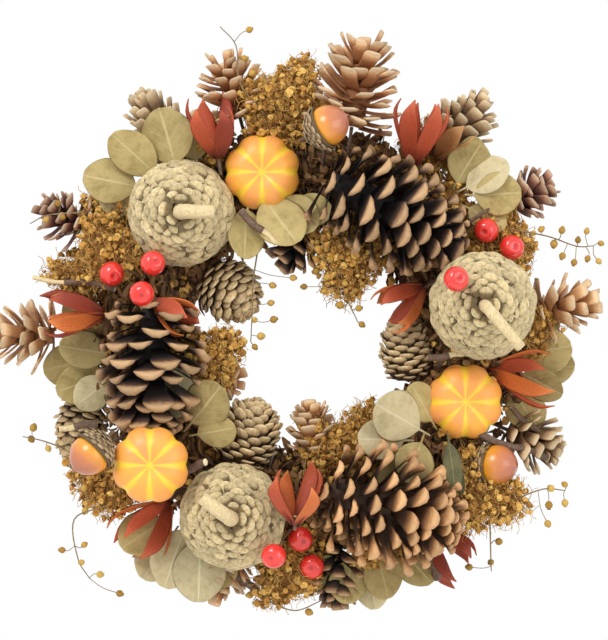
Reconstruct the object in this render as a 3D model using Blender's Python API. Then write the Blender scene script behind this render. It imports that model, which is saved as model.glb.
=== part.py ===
"""Harvest door wreath: a bound straw ring with cones, mini pumpkins, acorns, berries, flowers and leaves.

Metres, +Z up. The wreath's front faces -Y and the door is on the +Y side. The origin is the point where the
wire loop rests on its hook. Every trimming is laid on the ring from the front and moves back until it meets
what is already there, as it would be glued on, so the pieces stay clear of each other when a size changes.
A place is a clock angle in degrees, clockwise from the top, and a distance out from the ring's centre line.
"""

import math
from typing import NamedTuple

import bmesh
import bpy
from mathutils import Matrix, Vector
from mathutils.bvhtree import BVHTree

# Clearances
GAP = 0.0003  # between any two pieces that touch
SWELL = 1.5 * GAP  # how much a shape is grown along its normals to find where it makes contact
SETTLE_STEP = 0.0015  # how far a piece moves back at a time while it is laid
SETTLE_FINEST = 0.00007  # last step before it is left where it is

# Base ring: D-section, flat at the back
RING_RADIUS = 0.098
RING_HALF_WIDTH = 0.028
RING_DEPTH = 0.028
RING_EDGE_DEPTH = 0.009  # height of the straight edge behind the rounded front
BACK_Y = 0.006  # plane of the flat back
RING_SEGMENTS = 48

# Wires
TIE_RADIUS = 0.0007
TIE_CLOCKS = (75, 195, 315)
LOOP_WIRE_RADIUS = 0.0010
LOOP_DROP = 0.026  # from the hook point down to the bar that turns in the eye
LOOP_HALF_WIDTH = 0.010
LOOP_CORNER = 0.003
EYE_RADIUS = 0.0030  # centre line of the eye
EYE_NECK = 0.0022  # height of the twisted neck under the eye
SWING_DEGREES = 40  # how far the wreath lifts off the door
SWING_CLEARANCE = 0.001

# Pumpkins and berries
PUMPKIN_RADIUS = 0.0235
PUMPKIN_DEPTH = 0.036
PUMPKIN_GROOVE = 0.09  # share of the radius
PUMPKIN_POLE = 0.08  # share of the half turn left off at each end, where a cap closes it
PUMPKIN_DIMPLE = 0.16  # share of the depth
PUMPKIN_DIMPLE_WIDTH = 0.45  # share of the radius
BERRY_RADIUS = 0.0078
BERRY_POLE = 0.06

# Cones: half a sine, started part of the way in, gives their outline
CONE_START = 0.18  # share of the half sine left out below the stem end
CONE_SPAN = 0.76  # share of it that the cone takes up
CONE_FULLNESS = 0.7  # power of the sine; less gives blunter ends
CONE_TIP = 0.15  # share of the radius
SCALE_FOOT = 0.12  # where a row's scales start, as a share of the row
SCALE_LIP = 0.88  # where they end
LARGE_CONE_SIDES = 14
SMALL_CONE_SIDES = 8
PICK_RADIUS = 0.0012

# Round cones
ROUND_CONE_RADIUS = 0.033
ROUND_CONE_LENGTH = 0.050
ROUND_CONE_WIDEST = 0.45  # share of the length
ROUND_CONE_TAPER = 3.2  # how fast it narrows away from its widest place
ROUND_CONE_BITE = 0.10  # how far each row steps in, as a share of the radius
ROUND_CONE_SCALLOP = 0.04
ROUND_CONE_LEDGE = 0.0008  # height of the step between rows
ROUND_CONE_STEM = 0.0040  # radius of the stem
ROUND_CONE_STEM_RISE = 0.002  # how far the stem stands off before it bends

# Acorns
NUT_RADIUS = 0.0122
NUT_LENGTH = 0.0270
NUT_END = 0.05  # share of the length left off at each end, where a cap closes it
NUT_FULLNESS = 0.62
NUT_POINT_RADIUS = 0.0008
NUT_POINT_LENGTH = 0.0012
CAP_WALL = 0.0020
CAP_DEPTH = 0.0120
CAP_FLOOR = 0.12  # share of the depth that the cup's bottom takes up
CAP_BEVEL = 0.3  # how far the rim's outer edge lies below its inner one, in walls
CAP_SCALLOP = 0.03
CAP_SEAT = 0.0020  # radius of the cup's flat bottom inside
STALK_LENGTH = 0.0070
STALK_RADIUS = 0.0016
STALK_NECK = 0.0014

# Flowers and leaves
PETALS = 5
PETAL_WALL = 0.0012
PETAL_TOOTH = 0.38  # how deep the rim is cut between petals, as a share of the length
FLOWER_FOOT = 0.22  # radius at the foot as a share of the widest
FLOWER_FLARE = 0.8  # power of the outline; less opens sooner
LEAF_THICKNESS = 0.0009
LEAF_LENGTH = 0.030
LEAF_CUP = 0.004  # how far the edge stands forward
LEAF_NOTCH = 0.35  # reach between two leaves as a share of a leaf's
LEAF_EDGE = 0.6  # thickness at the edge as a share of the middle's
SPRAY_LEAVES = 3
SPRAY_ANGLE = 62  # from one leaf of a spray to the next
SPRAY_STEM = 0.004
SPRAY_HEART = 0.1  # share of the reach at which the middle's flat part ends

# Florets
CLUMP_RADIUS = 0.014
CLUMP_POLE = 0.07
CLUMP_LUMPS = 0.16  # share of the radius
CLUMP_RIPPLE = 0.08
CLUMP_FLATNESS = 0.8

SHARP_DEGREES = 35  # edges sharper than this are shaded as edges

FRONT = Vector((0, -1, 0))
BACK = Vector((0, 1, 0))
UP = Vector((0, 0, 1))

BAR = Vector((0, 0, -LOOP_DROP))
RING_TOP_Z = BAR.z - EYE_RADIUS - EYE_NECK - 2 * TIE_RADIUS - GAP
RING_CENTRE = Vector((0, 0, RING_TOP_Z - RING_HALF_WIDTH - RING_RADIUS))


class Place(NamedTuple):
    """Where a trimming goes and the way it points; lean is toward the front."""

    clock: float
    out: float
    heading: float = 0
    lean: float = 90


class Cone(NamedTuple):
    """A cone on a wire pick: its length, widest radius, rows of scales and how open they are."""

    place: Place
    length: float
    radius: float
    rows: int
    bite: float
    pick: float = 0


LARGE_CONES = (
    Cone(Place(32, -0.006, 118, 4), 0.098, 0.036, 8, 0.34),
    Cone(Place(262, -0.006, 180, 8), 0.084, 0.034, 7, 0.34),
    Cone(Place(154, 0.012, 108, 6), 0.088, 0.038, 7, 0.34),
)

# Clock place of each round cone, with the clock direction and length of its stem
ROUND_CONES = (
    (Place(316, 0.008), 80, 0.020),
    (Place(202, 0.016), 318, 0.021),
    (Place(79, 0.010), 133, 0.032),
)

PUMPKINS = (Place(346, 0.006), Place(231, 0.019), Place(111, 0.006))

SMALL_CONES = (
    Cone(Place(344, 0.056, 345, 8), 0.036, 0.021, 5, 0.30, 0.016),
    Cone(Place(12, 0.054, 8, 10), 0.052, 0.029, 6, 0.30, 0.010),
    Cone(Place(36, 0.060, 40, 5), 0.042, 0.018, 6, 0.24, 0.016),
    Cone(Place(57, 0.062, 60, 5), 0.026, 0.013, 4, 0.26, 0.032),
    Cone(Place(83, 0.058, 80, 0), 0.032, 0.017, 5, 0.28, 0.026),
    Cone(Place(114, 0.050, 115, 10), 0.034, 0.017, 5, 0.28, 0.012),
    Cone(Place(297, 0.063, 300, 5), 0.028, 0.013, 4, 0.28, 0.032),
    Cone(Place(271, 0.066, 272, 3), 0.034, 0.020, 4, 0.34, 0.034),
    Cone(Place(249, 0.048, 190, 5), 0.048, 0.014, 6, 0.10),
    Cone(Place(304, -0.042, 135, 10), 0.036, 0.017, 6, 0.10, 0.006),
    Cone(Place(211, -0.030, 20, 12), 0.040, 0.018, 6, 0.10, 0.004),
    Cone(Place(96, -0.036, 355, 5), 0.042, 0.014, 6, 0.08),
    Cone(Place(175, -0.040, 355, 10), 0.030, 0.014, 4, 0.24, 0.016),
)

BERRIES = (
    Place(289, 0.024), Place(297, 0.003), Place(286, 0.002),
    Place(59, 0.030), Place(66, 0.039), Place(68, -0.002),
    Place(188, 0.031), Place(181, 0.022), Place(178, 0.039),
)

ACORNS = (Place(6, 0.030, 62, 20), Place(242, 0.044, 225, 15), Place(123, 0.040, 95, 35))


class Flower(NamedTuple):
    """A cup of strap petals on a pick."""

    place: Place
    length: float
    radius: float
    pick: float


FLOWERS = (
    Flower(Place(337, 0.040, 352, 12), 0.036, 0.017, 0.010),
    Flower(Place(29, 0.046, 14, 12), 0.042, 0.017, 0.012),
    Flower(Place(277, 0.042, 275, 12), 0.038, 0.015, 0.010),
    Flower(Place(99, 0.036, 98, 12), 0.042, 0.018, 0.008),
    Flower(Place(220, 0.050, 222, 12), 0.042, 0.018, 0.012),
    Flower(Place(146, 0.056, 142, 10), 0.036, 0.017, 0.022),
    Flower(Place(68, -0.034, 240, 15), 0.030, 0.016, 0.012),
)
FRONT_FLOWER = Flower(Place(183, -0.006, 2, 20), 0.034, 0.017, 0.004)

LEAF_SPRAYS = (
    Place(318, 0.036, 320, 8),
    Place(45, 0.034, 45, 8),
    Place(98, 0.032, 95, 8),
    Place(212, 0.040, 210, 8),
)

CLUMPS = (Place(353, 0.036), Place(294, 0.030), Place(62, 0.036), Place(150, -0.028), Place(183, 0.030))


def clock_direction(clock):
    """Unit vector across the wreath's face along a clock angle."""
    angle = math.radians(clock)
    return Vector((math.sin(angle), 0, math.cos(angle)))


def aim(heading, lean):
    """Turn that points local +Z along a clock heading, leaning to the front, with local -Y facing front."""
    tilt = math.radians(lean)
    along = clock_direction(heading) * math.cos(tilt) + FRONT * math.sin(tilt)
    points_back_or_front = abs(along.dot(BACK)) > math.cos(math.radians(0.01))
    behind = -UP if points_back_or_front else (BACK - along * along.dot(BACK)).normalized()
    return Matrix((behind.cross(along), behind, along)).transposed()


def circle(radius, height, sides, notch=0.0, turn=0):
    """A ring of points; a notch draws every other point in, which scallops or grooves the edge."""
    points = []
    for side in range(sides):
        angle = 2 * math.pi * side / sides
        reach = radius * (1 - notch * ((side + turn) % 2))
        points.append(Vector((reach * math.cos(angle), reach * math.sin(angle), height)))
    return points


def between_poles(pole, share):
    """Share of a half turn that starts and ends a little short of the poles."""
    return pole + (1 - 2 * pole) * share


def skin(rings, closed=False):
    """Points and triangles of one closed body through rings that have the same number of points."""
    sides = len(rings[0])
    points = [point for ring in rings for point in ring]
    faces = []
    for row in range(len(rings) if closed else len(rings) - 1):
        here = row * sides
        there = (row + 1) % len(rings) * sides
        for side in range(sides):
            after = (side + 1) % sides
            faces.append((here + side, here + after, there + after))
            faces.append((here + side, there + after, there + side))
    if not closed:
        for end, start in ((rings[0], 0), (rings[-1], len(points) - sides)):
            points.append(sum(end, Vector()) / sides)
            middle = len(points) - 1
            for side in range(sides):
                faces.append((start + side, start + (side + 1) % sides, middle))
    return points, faces


def tube_rings(path, radius, sides, across, closed=False):
    """Round sections along a path that lies in the plane square to across."""
    rings = []
    for index, point in enumerate(path):
        before = path[index - 1] if index or closed else point
        after = path[(index + 1) % len(path)] if index < len(path) - 1 or closed else point
        beside = (after - before).normalized().cross(across)
        angles = [2 * math.pi * side / sides for side in range(sides)]
        rings.append([point + (across * math.cos(a) + beside * math.sin(a)) * radius for a in angles])
    return rings


def arc(centre, radius, start, end, steps):
    """Points on an arc in the plane of the first two axes, from one angle to another in degrees."""
    points = []
    for step in range(steps + 1):
        angle = math.radians(start + (end - start) * step / steps)
        points.append((centre[0] + radius * math.cos(angle), centre[1] + radius * math.sin(angle)))
    return points


def ring_section(offset=0.0, steps=6):
    """The base's D-section as (distance from the centre line, y), grown by an offset, back edge first."""
    half = RING_HALF_WIDTH + offset
    edge = BACK_Y - RING_EDGE_DEPTH
    points = [(-half, BACK_Y + offset)]
    for step in range(steps + 1):
        angle = math.pi * (1 - step / steps)
        swell = RING_DEPTH - RING_EDGE_DEPTH + offset
        points.append((half * math.cos(angle), edge - swell * math.sin(angle)))
    points.append((half, BACK_Y + offset))
    return points


def on_ring(across, y, clock):
    """World point at a clock angle, from a distance across the ring's centre line and a depth."""
    return RING_CENTRE + clock_direction(clock) * (RING_RADIUS + across) + BACK * y


def base_ring():
    """The D-section carried once round the ring's centre."""
    section = ring_section()
    rings = []
    for segment in range(RING_SEGMENTS):
        clock = 360 * segment / RING_SEGMENTS
        rings.append([on_ring(across, y, clock) for across, y in section])
    return skin(rings, closed=True)


def tie_path(clock):
    """Centre line of a wire that goes round the base."""
    return [on_ring(across, y, clock) for across, y in ring_section(TIE_RADIUS + GAP)]


def binding_tie(clock):
    """Closed turn of wire round the base."""
    side = clock_direction(clock + 90)
    return skin(tube_rings(tie_path(clock), TIE_RADIUS, 6, side, closed=True), closed=True)


def hanger_eye():
    """One wire round the base at the top, drawn together into a neck and opened into an eye."""
    band = tie_path(0)
    neck = TIE_RADIUS + GAP
    mouth = math.degrees(math.asin(neck / EYE_RADIUS))
    foot = RING_TOP_Z + neck
    curve = arc((0, BAR.z), EYE_RADIUS, 270 - mouth, mouth - 90, 14)
    eye = [Vector((0, y, z)) for y, z in curve]
    path = band[:-1] + [Vector((0, -neck, foot))] + eye + [Vector((0, neck, foot))] + band[-1:]
    return skin(tube_rings(path, TIE_RADIUS, 6, Vector((1, 0, 0)), closed=True), closed=True)


def hanger_loop():
    """Closed wire loop: round at the top, straight along the bar that turns in the eye."""
    top = LOOP_WIRE_RADIUS - LOOP_HALF_WIDTH
    inner = LOOP_HALF_WIDTH - LOOP_CORNER
    low = BAR.z + LOOP_CORNER
    outline = arc((0, top), LOOP_HALF_WIDTH, 0, 180, 12)
    outline += arc((-inner, low), LOOP_CORNER, 180, 270, 3)
    outline += arc((inner, low), LOOP_CORNER, 270, 360, 3)
    path = [Vector((x, 0, z)) for x, z in outline]
    return skin(tube_rings(path, LOOP_WIRE_RADIUS, 8, BACK, closed=True), closed=True)


def swing_space():
    """The space in front of the loop that it sweeps as the wreath lifts; nothing is laid in it."""
    half = LOOP_HALF_WIDTH + LOOP_WIRE_RADIUS + SWING_CLEARANCE
    height = LOOP_DROP + 2 * LOOP_WIRE_RADIUS + SWING_CLEARANCE
    front = -height * math.sin(math.radians(SWING_DEGREES)) - LOOP_WIRE_RADIUS
    top = BAR.z + height
    low = RING_TOP_Z
    rings = []
    for z in (low, top):
        rings.append([Vector(corner) for corner in (
            (-half, front, z), (half, front, z), (half, BACK_Y, z), (-half, BACK_Y, z))])
    return skin(rings)


def cone_outline(share):
    """Width of a cone along its length, 0 at the stem and 1 at the tip."""
    return math.sin(math.pi * (CONE_START + CONE_SPAN * share)) ** CONE_FULLNESS


def cone_rings(length, radius, rows, bite, sides):
    """Rows of scales, each widening to a scalloped edge and stepping back in."""
    rings = []
    step = length / rows
    for row in range(rows):
        reach = radius * cone_outline((row + 0.5) / rows)
        low = row * step - length / 2
        rings.append(circle(reach * (1 - bite), low + SCALE_FOOT * step, sides))
        rings.append(circle(reach, low + SCALE_LIP * step, sides, bite / 2, row))
    rings.append(circle(CONE_TIP * radius, length / 2, sides))
    return rings


def pick_rings(start, pick, sides):
    """A wire pick below a trimming that starts at a height."""
    if not pick:
        return []
    return [circle(PICK_RADIUS, start - pick, sides), circle(PICK_RADIUS, start, sides)]


def cone(spec, sides):
    """A cone on its pick. Local +Z is from the stem end to the tip."""
    rings = pick_rings(-spec.length / 2, spec.pick, sides)
    return skin(rings + cone_rings(spec.length, spec.radius, spec.rows, spec.bite, sides))


def round_cone(stem_clock, stem_length, rows=6, sides=12):
    """Nearly a ball, its base to the front, with a stem that bends over to one side. Local +Z is the back."""
    half = ROUND_CONE_LENGTH / 2
    side = Vector((math.sin(math.radians(stem_clock)), -math.cos(math.radians(stem_clock)), 0))
    across = side.cross(UP)
    bend = 2 * ROUND_CONE_STEM
    path = []
    for sideways, rise in reversed(arc((bend, 0), bend, 180, 90, 4)):
        path.append(side * sideways - UP * (half + ROUND_CONE_STEM_RISE + rise))
    tip = path[0] + side * (stem_length - bend)
    frames = tube_rings([tip] + path, ROUND_CONE_STEM, sides, across)
    rings = []
    step = ROUND_CONE_LENGTH / rows
    for row in range(rows):
        share = (row + 0.5) / rows
        reach = ROUND_CONE_RADIUS * math.sqrt(1 - ROUND_CONE_TAPER * (share - ROUND_CONE_WIDEST) ** 2)
        low = row * step - half
        scallop = ROUND_CONE_SCALLOP if row else 0
        rings.append(circle(reach * (1 - ROUND_CONE_BITE), low + ROUND_CONE_LEDGE, sides))
        rings.append(circle(reach, low + SCALE_LIP * step, sides, scallop, row))
    rings.append(circle(CONE_TIP * ROUND_CONE_RADIUS, half, sides))
    turn = Matrix.Rotation(math.atan2(across.y, across.x), 3, "Z")
    body = [[turn @ point for point in ring] for ring in rings]
    if (frames[-1][1] - frames[-1][0]).dot(body[0][1] - body[0][0]) < 0:
        body = [[ring[0]] + list(reversed(ring[1:])) for ring in body]
    return skin(frames + body)


def pumpkin(sides=16, rows=7):
    """Squat ball with a groove between each two lobes, dimpled at both ends."""
    rings = []
    for row in range(rows + 1):
        angle = math.pi * between_poles(PUMPKIN_POLE, row / rows)
        nearness = math.exp(-((math.sin(angle) / PUMPKIN_DIMPLE_WIDTH) ** 2))
        dimple = PUMPKIN_DIMPLE * PUMPKIN_DEPTH * nearness
        height = -math.cos(angle) * (PUMPKIN_DEPTH / 2 - dimple)
        rings.append(circle(PUMPKIN_RADIUS * math.sin(angle), height, sides, PUMPKIN_GROOVE))
    return skin(rings)


def berry(sides=8, rows=5):
    """Ball closed by a small flat at each end."""
    rings = []
    for row in range(rows + 1):
        angle = math.pi * between_poles(BERRY_POLE, row / rows)
        rings.append(circle(BERRY_RADIUS * math.sin(angle), -BERRY_RADIUS * math.cos(angle), sides))
    return skin(rings)


def acorn_nut(sides=12, rows=7):
    """Egg with a small point at its free end, seated in its cap at the bottom."""
    rings = []
    for row in range(rows + 1):
        height = NUT_LENGTH * (between_poles(NUT_END, row / rows) - 0.5)
        rings.append(circle(nut_radius(height), height, sides))
    rings.append(circle(NUT_POINT_RADIUS, NUT_LENGTH / 2 + NUT_POINT_LENGTH, sides))
    return skin(rings)


def nut_radius(height):
    """The nut's radius at a height from its middle."""
    share = height / NUT_LENGTH + 0.5
    return NUT_RADIUS * math.sin(math.pi * max(NUT_END, min(1 - NUT_END, share))) ** NUT_FULLNESS


def acorn_cap(sides=12, rows=3):
    """Cup over the nut's lower end, with a short stalk."""
    bottom = -NUT_LENGTH / 2
    heights = [bottom + CAP_DEPTH * (CAP_FLOOR + (1 - CAP_FLOOR) * row / rows) for row in range(rows + 1)]
    spread = GAP * 2
    rings = [circle(STALK_RADIUS, bottom - STALK_LENGTH, sides), circle(STALK_NECK, bottom - CAP_WALL, sides)]
    for height in heights:
        outer = nut_radius(height) + spread + CAP_WALL
        rings.append(circle(outer, height - CAP_BEVEL * CAP_WALL, sides, CAP_SCALLOP))
    for height in reversed(heights):
        rings.append(circle((nut_radius(height) + spread) / math.cos(math.pi / sides), height, sides))
    rings.append(circle(CAP_SEAT, bottom + spread, sides))
    return skin(rings)


def flower(spec):
    """Cup of strap petals: outside wall up to a toothed rim and back down inside."""
    sides = 3 * PETALS
    rings = pick_rings(-spec.length / 2, spec.pick, sides)
    shares = (0.0, 0.25, 0.6, 1.0)  # foot, lower wall, upper wall, rim
    for inward, order in ((0.0, shares), (PETAL_WALL, tuple(reversed(shares[1:])))):
        for share in order:
            rings.append(flower_ring(spec, share, inward, sides))
    return skin(rings)


def flower_ring(spec, share, inward, sides):
    """One section of the cup, at a share of its height and set in from its outside wall."""
    opening = math.sin(math.pi / 2 * share) ** FLOWER_FLARE
    reach = spec.radius * (FLOWER_FOOT + (1 - FLOWER_FOOT) * opening) - inward
    ring = []
    for side in range(sides):
        angle = 2 * math.pi * side / sides
        tooth = (1 + math.cos(PETALS * angle)) / 2
        rise = spec.length * (share * (1 - PETAL_TOOTH + PETAL_TOOTH * tooth * share) - 0.5)
        rise += inward * (1 - share)
        ring.append(Vector((reach * math.cos(angle), reach * math.sin(angle), rise)))
    return ring


def leaf_spray(sides=24):
    """A flat spray of round leaves on one stem, slightly cupped. Local +Z is the way it grows."""
    rings = []
    for face, shares in ((1, (SPRAY_HEART, 1.0)), (-1, (1.0, SPRAY_HEART))):
        for share in shares:
            half = face * LEAF_THICKNESS / 2 * (LEAF_EDGE if share == 1.0 else 1.0)
            ring = []
            for side in range(sides):
                angle = 2 * math.pi * side / sides
                reach = share * spray_reach(angle)
                front = -half - LEAF_CUP * share * share
                ring.append(Vector((reach * math.sin(angle), front, reach * math.cos(angle))))
            rings.append(ring)
    return skin(rings)


def spray_reach(angle):
    """How far the spray's outline is from its stem, at an angle from the way it grows."""
    spread = math.radians(SPRAY_ANGLE)
    folded = (angle + math.pi) % (2 * math.pi) - math.pi
    if abs(folded) >= SPRAY_LEAVES * spread / 2:
        return SPRAY_STEM
    lobe = math.sqrt(abs(math.cos(math.pi * folded / spread)))
    return SPRAY_STEM + LEAF_LENGTH * (LEAF_NOTCH + (1 - LEAF_NOTCH) * lobe)


def clump(seed, sides=10, rows=6):
    """Uneven ball of dried florets; each seed gives it other lumps."""
    rings = []
    for row in range(rows + 1):
        angle = math.pi * between_poles(CLUMP_POLE, row / rows)
        ring = []
        for side in range(sides):
            around = 2 * math.pi * side / sides
            lumps = CLUMP_LUMPS * math.sin(3 * around + seed) * math.sin(angle)
            reach = CLUMP_RADIUS * (1 + lumps + CLUMP_RIPPLE * math.cos(5 * angle + seed))
            x = reach * math.sin(angle) * math.cos(around)
            y = reach * math.sin(angle) * math.sin(around)
            ring.append(Vector((x, y, -CLUMP_FLATNESS * reach * math.cos(angle))))
        rings.append(ring)
    return skin(rings)


def new_mesh(name, shape):
    points, faces = shape
    mesh = bpy.data.meshes.new(name)
    mesh.from_pydata([tuple(point) for point in points], [], faces)
    return mesh


def face_outward(mesh):
    work = bmesh.new()
    work.from_mesh(mesh)
    bmesh.ops.recalc_face_normals(work, faces=work.faces)
    work.to_mesh(mesh)
    work.free()


def material(name, colour, roughness, metallic=0.0):
    made = bpy.data.materials.new(name)
    made.use_nodes = True
    shader = made.node_tree.nodes["Principled BSDF"]
    shader.inputs["Base Color"].default_value = (*colour, 1.0)
    shader.inputs["Roughness"].default_value = roughness
    shader.inputs["Metallic"].default_value = metallic
    return made


STRAW = ("bound_straw", (0.12, 0.07, 0.035), 0.9, 0.0)
WIRE = ("steel_wire", (0.30, 0.28, 0.26), 0.4, 1.0)
FOAM = ("painted_foam", (0.90, 0.42, 0.10), 0.7, 0.0)
CONE_BROWN = ("cone_scales", (0.24, 0.12, 0.06), 0.8, 0.0)
CONE_TAN = ("closed_cone_scales", (0.50, 0.38, 0.18), 0.75, 0.0)
BERRY_RED = ("lacquered_red", (0.80, 0.04, 0.03), 0.15, 0.0)
NUT_GOLD = ("painted_nut", (0.70, 0.32, 0.06), 0.3, 0.0)
CAP_BROWN = ("cap_scales", (0.38, 0.27, 0.15), 0.9, 0.0)
PETAL_RED = ("dyed_wood_petal", (0.50, 0.08, 0.02), 0.6, 0.0)
LEAF_OLIVE = ("dried_leaf", (0.45, 0.40, 0.18), 0.7, 0.0)
FLORET_GOLD = ("dried_florets", (0.50, 0.30, 0.05), 0.9, 0.0)


class Wreath:
    """Holds the pivot, and the shapes that a trimming laid later has to stay clear of."""

    def __init__(self):
        self.pivot = bpy.data.objects.new("wreath_pivot", None)
        self.pivot.location = BAR
        bpy.context.scene.collection.objects.link(self.pivot)
        self.laid = []

    def block(self, points, faces):
        """Keeps later trimmings out of a shape."""
        self.laid.append((BVHTree.FromPolygons(points, faces), extent(points)))

    def add(self, name, shape, finish, location=None, turn=None, moves=True):
        """Makes the object from points in world coordinates, with its own frame, on the pivot if it moves."""
        location = location or (BAR.copy() if moves else Vector())
        turn = turn or Matrix.Identity(3)
        points, faces = shape
        local = [turn.inverted() @ (point - location) for point in points]
        mesh = new_mesh(name, (local, faces))
        face_outward(mesh)
        mesh.shade_smooth()
        mesh.set_sharp_from_angle(angle=math.radians(SHARP_DEGREES))
        mesh.materials.append(material(f"{name}_{finish[0]}", *finish[1:]))
        made = bpy.data.objects.new(name, mesh)
        bpy.context.scene.collection.objects.link(made)
        made.rotation_euler = turn.to_euler()
        made.location = location
        if moves:
            made.parent = self.pivot
            made.location = location - self.pivot.location
        self.block(points, faces)

    def lay(self, pieces, place):
        """Lays pieces that share one frame, as named shapes with finishes, and moves them back to contact."""
        turn = aim(place.heading, place.lean)
        spot = RING_CENTRE + clock_direction(place.clock) * (RING_RADIUS + place.out)
        spot.y = 0
        solid = []
        swollen = []
        for _, shape, _ in pieces:
            points, faces = shape
            solid.append([turn @ point + spot for point in points])
            swollen.append(([turn @ point + spot for point in swell(points, faces)], faces))
        everything = [point for points, _ in swollen for point in points]
        low, high = extent(everything)
        near = [item for item in self.laid if beside((low, high), item[1])]
        deepest = BACK_Y - GAP - high.y
        y = min([deepest] + [box[0].y - high.y - SETTLE_STEP for _, box in near])
        while y < deepest and not self.meets(swollen, min(y + SETTLE_STEP, deepest), near):
            y = min(y + SETTLE_STEP, deepest)
        step = SETTLE_STEP / 2
        while step > SETTLE_FINEST:
            if y + step <= deepest and not self.meets(swollen, y + step, near):
                y += step
            step /= 2
        shift = BACK * y
        for (name, shape, finish), points in zip(pieces, solid):
            world = [point + shift for point in points]
            self.add(name, (world, shape[1]), finish, spot + shift, turn)

    def meets(self, swollen, y, near):
        """True where any of the grown shapes, moved back to y, runs into what is already there."""
        for points, faces in swollen:
            tree = BVHTree.FromPolygons([point + BACK * y for point in points], faces)
            if any(tree.overlap(other) for other, _ in near):
                return True
        return False


def swell(points, faces):
    """The shape grown by the gap along its corners' normals."""
    mesh = new_mesh("swollen", (points, faces))
    face_outward(mesh)
    grown = [vertex.co + vertex.normal * SWELL for vertex in mesh.vertices]
    bpy.data.meshes.remove(mesh)
    return grown


def extent(points):
    """Lowest and highest corners of some points."""
    low = Vector([min(point[axis] for point in points) for axis in range(3)])
    high = Vector([max(point[axis] for point in points) for axis in range(3)])
    return low, high


def beside(one, two):
    """True where two extents overlap as seen from the front."""
    return all(one[0][axis] < two[1][axis] and two[0][axis] < one[1][axis] for axis in (0, 2))


def numbered(name, items):
    return [(f"{name}_{number}", item) for number, item in enumerate(items, 1)]


def build_structure(wreath):
    wreath.add("hanger_loop", hanger_loop(), WIRE, moves=False)
    wreath.add("hanger_eye", hanger_eye(), WIRE)
    wreath.add("base_ring", base_ring(), STRAW)
    for name, clock in numbered("binding_tie", TIE_CLOCKS):
        wreath.add(name, binding_tie(clock), WIRE)
    wreath.block(*swing_space())


def build_trimmings(wreath):
    """Back to front: edges first, then the large pieces, then what lies on them."""
    for name, place in numbered("leaf_spray", LEAF_SPRAYS):
        wreath.lay([(name, leaf_spray(), LEAF_OLIVE)], place)
    for name, spec in numbered("pine_cone", SMALL_CONES):
        wreath.lay([(name, cone(spec, SMALL_CONE_SIDES), CONE_BROWN)], spec.place)
    for number, (name, place) in enumerate(numbered("floret_clump", CLUMPS)):
        wreath.lay([(name, clump(number), FLORET_GOLD)], place)
    for name, spec in numbered("wood_flower", FLOWERS):
        wreath.lay([(name, flower(spec), PETAL_RED)], spec.place)
    for name, spec in numbered("large_cone", LARGE_CONES):
        wreath.lay([(name, cone(spec, LARGE_CONE_SIDES), CONE_BROWN)], spec.place)
    for name, (place, stem_clock, stem_length) in numbered("round_cone", ROUND_CONES):
        shape = round_cone(stem_clock, stem_length)
        wreath.lay([(name, shape, CONE_TAN)], place._replace(lean=-90))
    for name, place in numbered("mini_pumpkin", PUMPKINS):
        wreath.lay([(name, pumpkin(), FOAM)], place)
    wreath.lay([("front_flower", flower(FRONT_FLOWER), PETAL_RED)], FRONT_FLOWER.place)
    for number, place in enumerate(ACORNS, 1):
        nut = (f"acorn_nut_{number}", acorn_nut(), NUT_GOLD)
        cap = (f"acorn_cap_{number}", acorn_cap(), CAP_BROWN)
        wreath.lay([nut, cap], place)
    for name, place in numbered("berry", BERRIES):
        wreath.lay([(name, berry(), BERRY_RED)], place)


def main():
    for thing in list(bpy.data.objects):
        bpy.data.objects.remove(thing, do_unlink=True)
    wreath = Wreath()
    build_structure(wreath)
    build_trimmings(wreath)


main()
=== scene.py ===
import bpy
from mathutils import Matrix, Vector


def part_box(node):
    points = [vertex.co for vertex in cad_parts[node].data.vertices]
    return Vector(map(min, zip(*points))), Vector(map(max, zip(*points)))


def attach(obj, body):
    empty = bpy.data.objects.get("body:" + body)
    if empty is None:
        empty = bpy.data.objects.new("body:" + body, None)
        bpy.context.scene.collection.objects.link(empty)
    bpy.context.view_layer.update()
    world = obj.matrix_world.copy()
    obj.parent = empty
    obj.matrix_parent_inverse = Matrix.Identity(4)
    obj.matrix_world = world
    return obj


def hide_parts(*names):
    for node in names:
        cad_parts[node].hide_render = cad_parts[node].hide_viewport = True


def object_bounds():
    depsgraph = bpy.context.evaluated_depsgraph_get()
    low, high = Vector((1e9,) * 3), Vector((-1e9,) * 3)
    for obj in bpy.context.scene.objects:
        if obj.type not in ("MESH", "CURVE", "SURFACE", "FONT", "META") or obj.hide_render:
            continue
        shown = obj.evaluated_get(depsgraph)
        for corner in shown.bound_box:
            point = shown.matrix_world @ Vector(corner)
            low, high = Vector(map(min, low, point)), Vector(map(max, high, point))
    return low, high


bl_info = {
    "name": "Harvest door wreath",
    "version": (1, 0, 0),
    "blender": (4, 5, 0),
    "location": "3D View > Sidebar > Wreath",
    "description": "Dresses the wreath with cones, pumpkins, acorns, berries, flowers, leaves and florets",
    "category": "Object",
}

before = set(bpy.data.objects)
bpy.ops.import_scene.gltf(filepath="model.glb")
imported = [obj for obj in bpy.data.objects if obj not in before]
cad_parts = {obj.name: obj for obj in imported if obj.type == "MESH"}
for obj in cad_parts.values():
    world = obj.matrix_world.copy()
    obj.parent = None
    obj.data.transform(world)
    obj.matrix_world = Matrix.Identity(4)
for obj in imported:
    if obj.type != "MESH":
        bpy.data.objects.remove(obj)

import math
import random
from typing import NamedTuple

import bmesh
import bpy
import numpy as np
from bpy.props import FloatProperty, FloatVectorProperty, IntProperty, PointerProperty
from mathutils import Matrix, Vector

CAD_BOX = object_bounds()
BODY = "wreath"
FRONT = Vector((0, -1, 0))
BACK = Vector((0, 1, 0))
UP = Vector((0, 0, 1))
MM = 0.001

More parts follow.
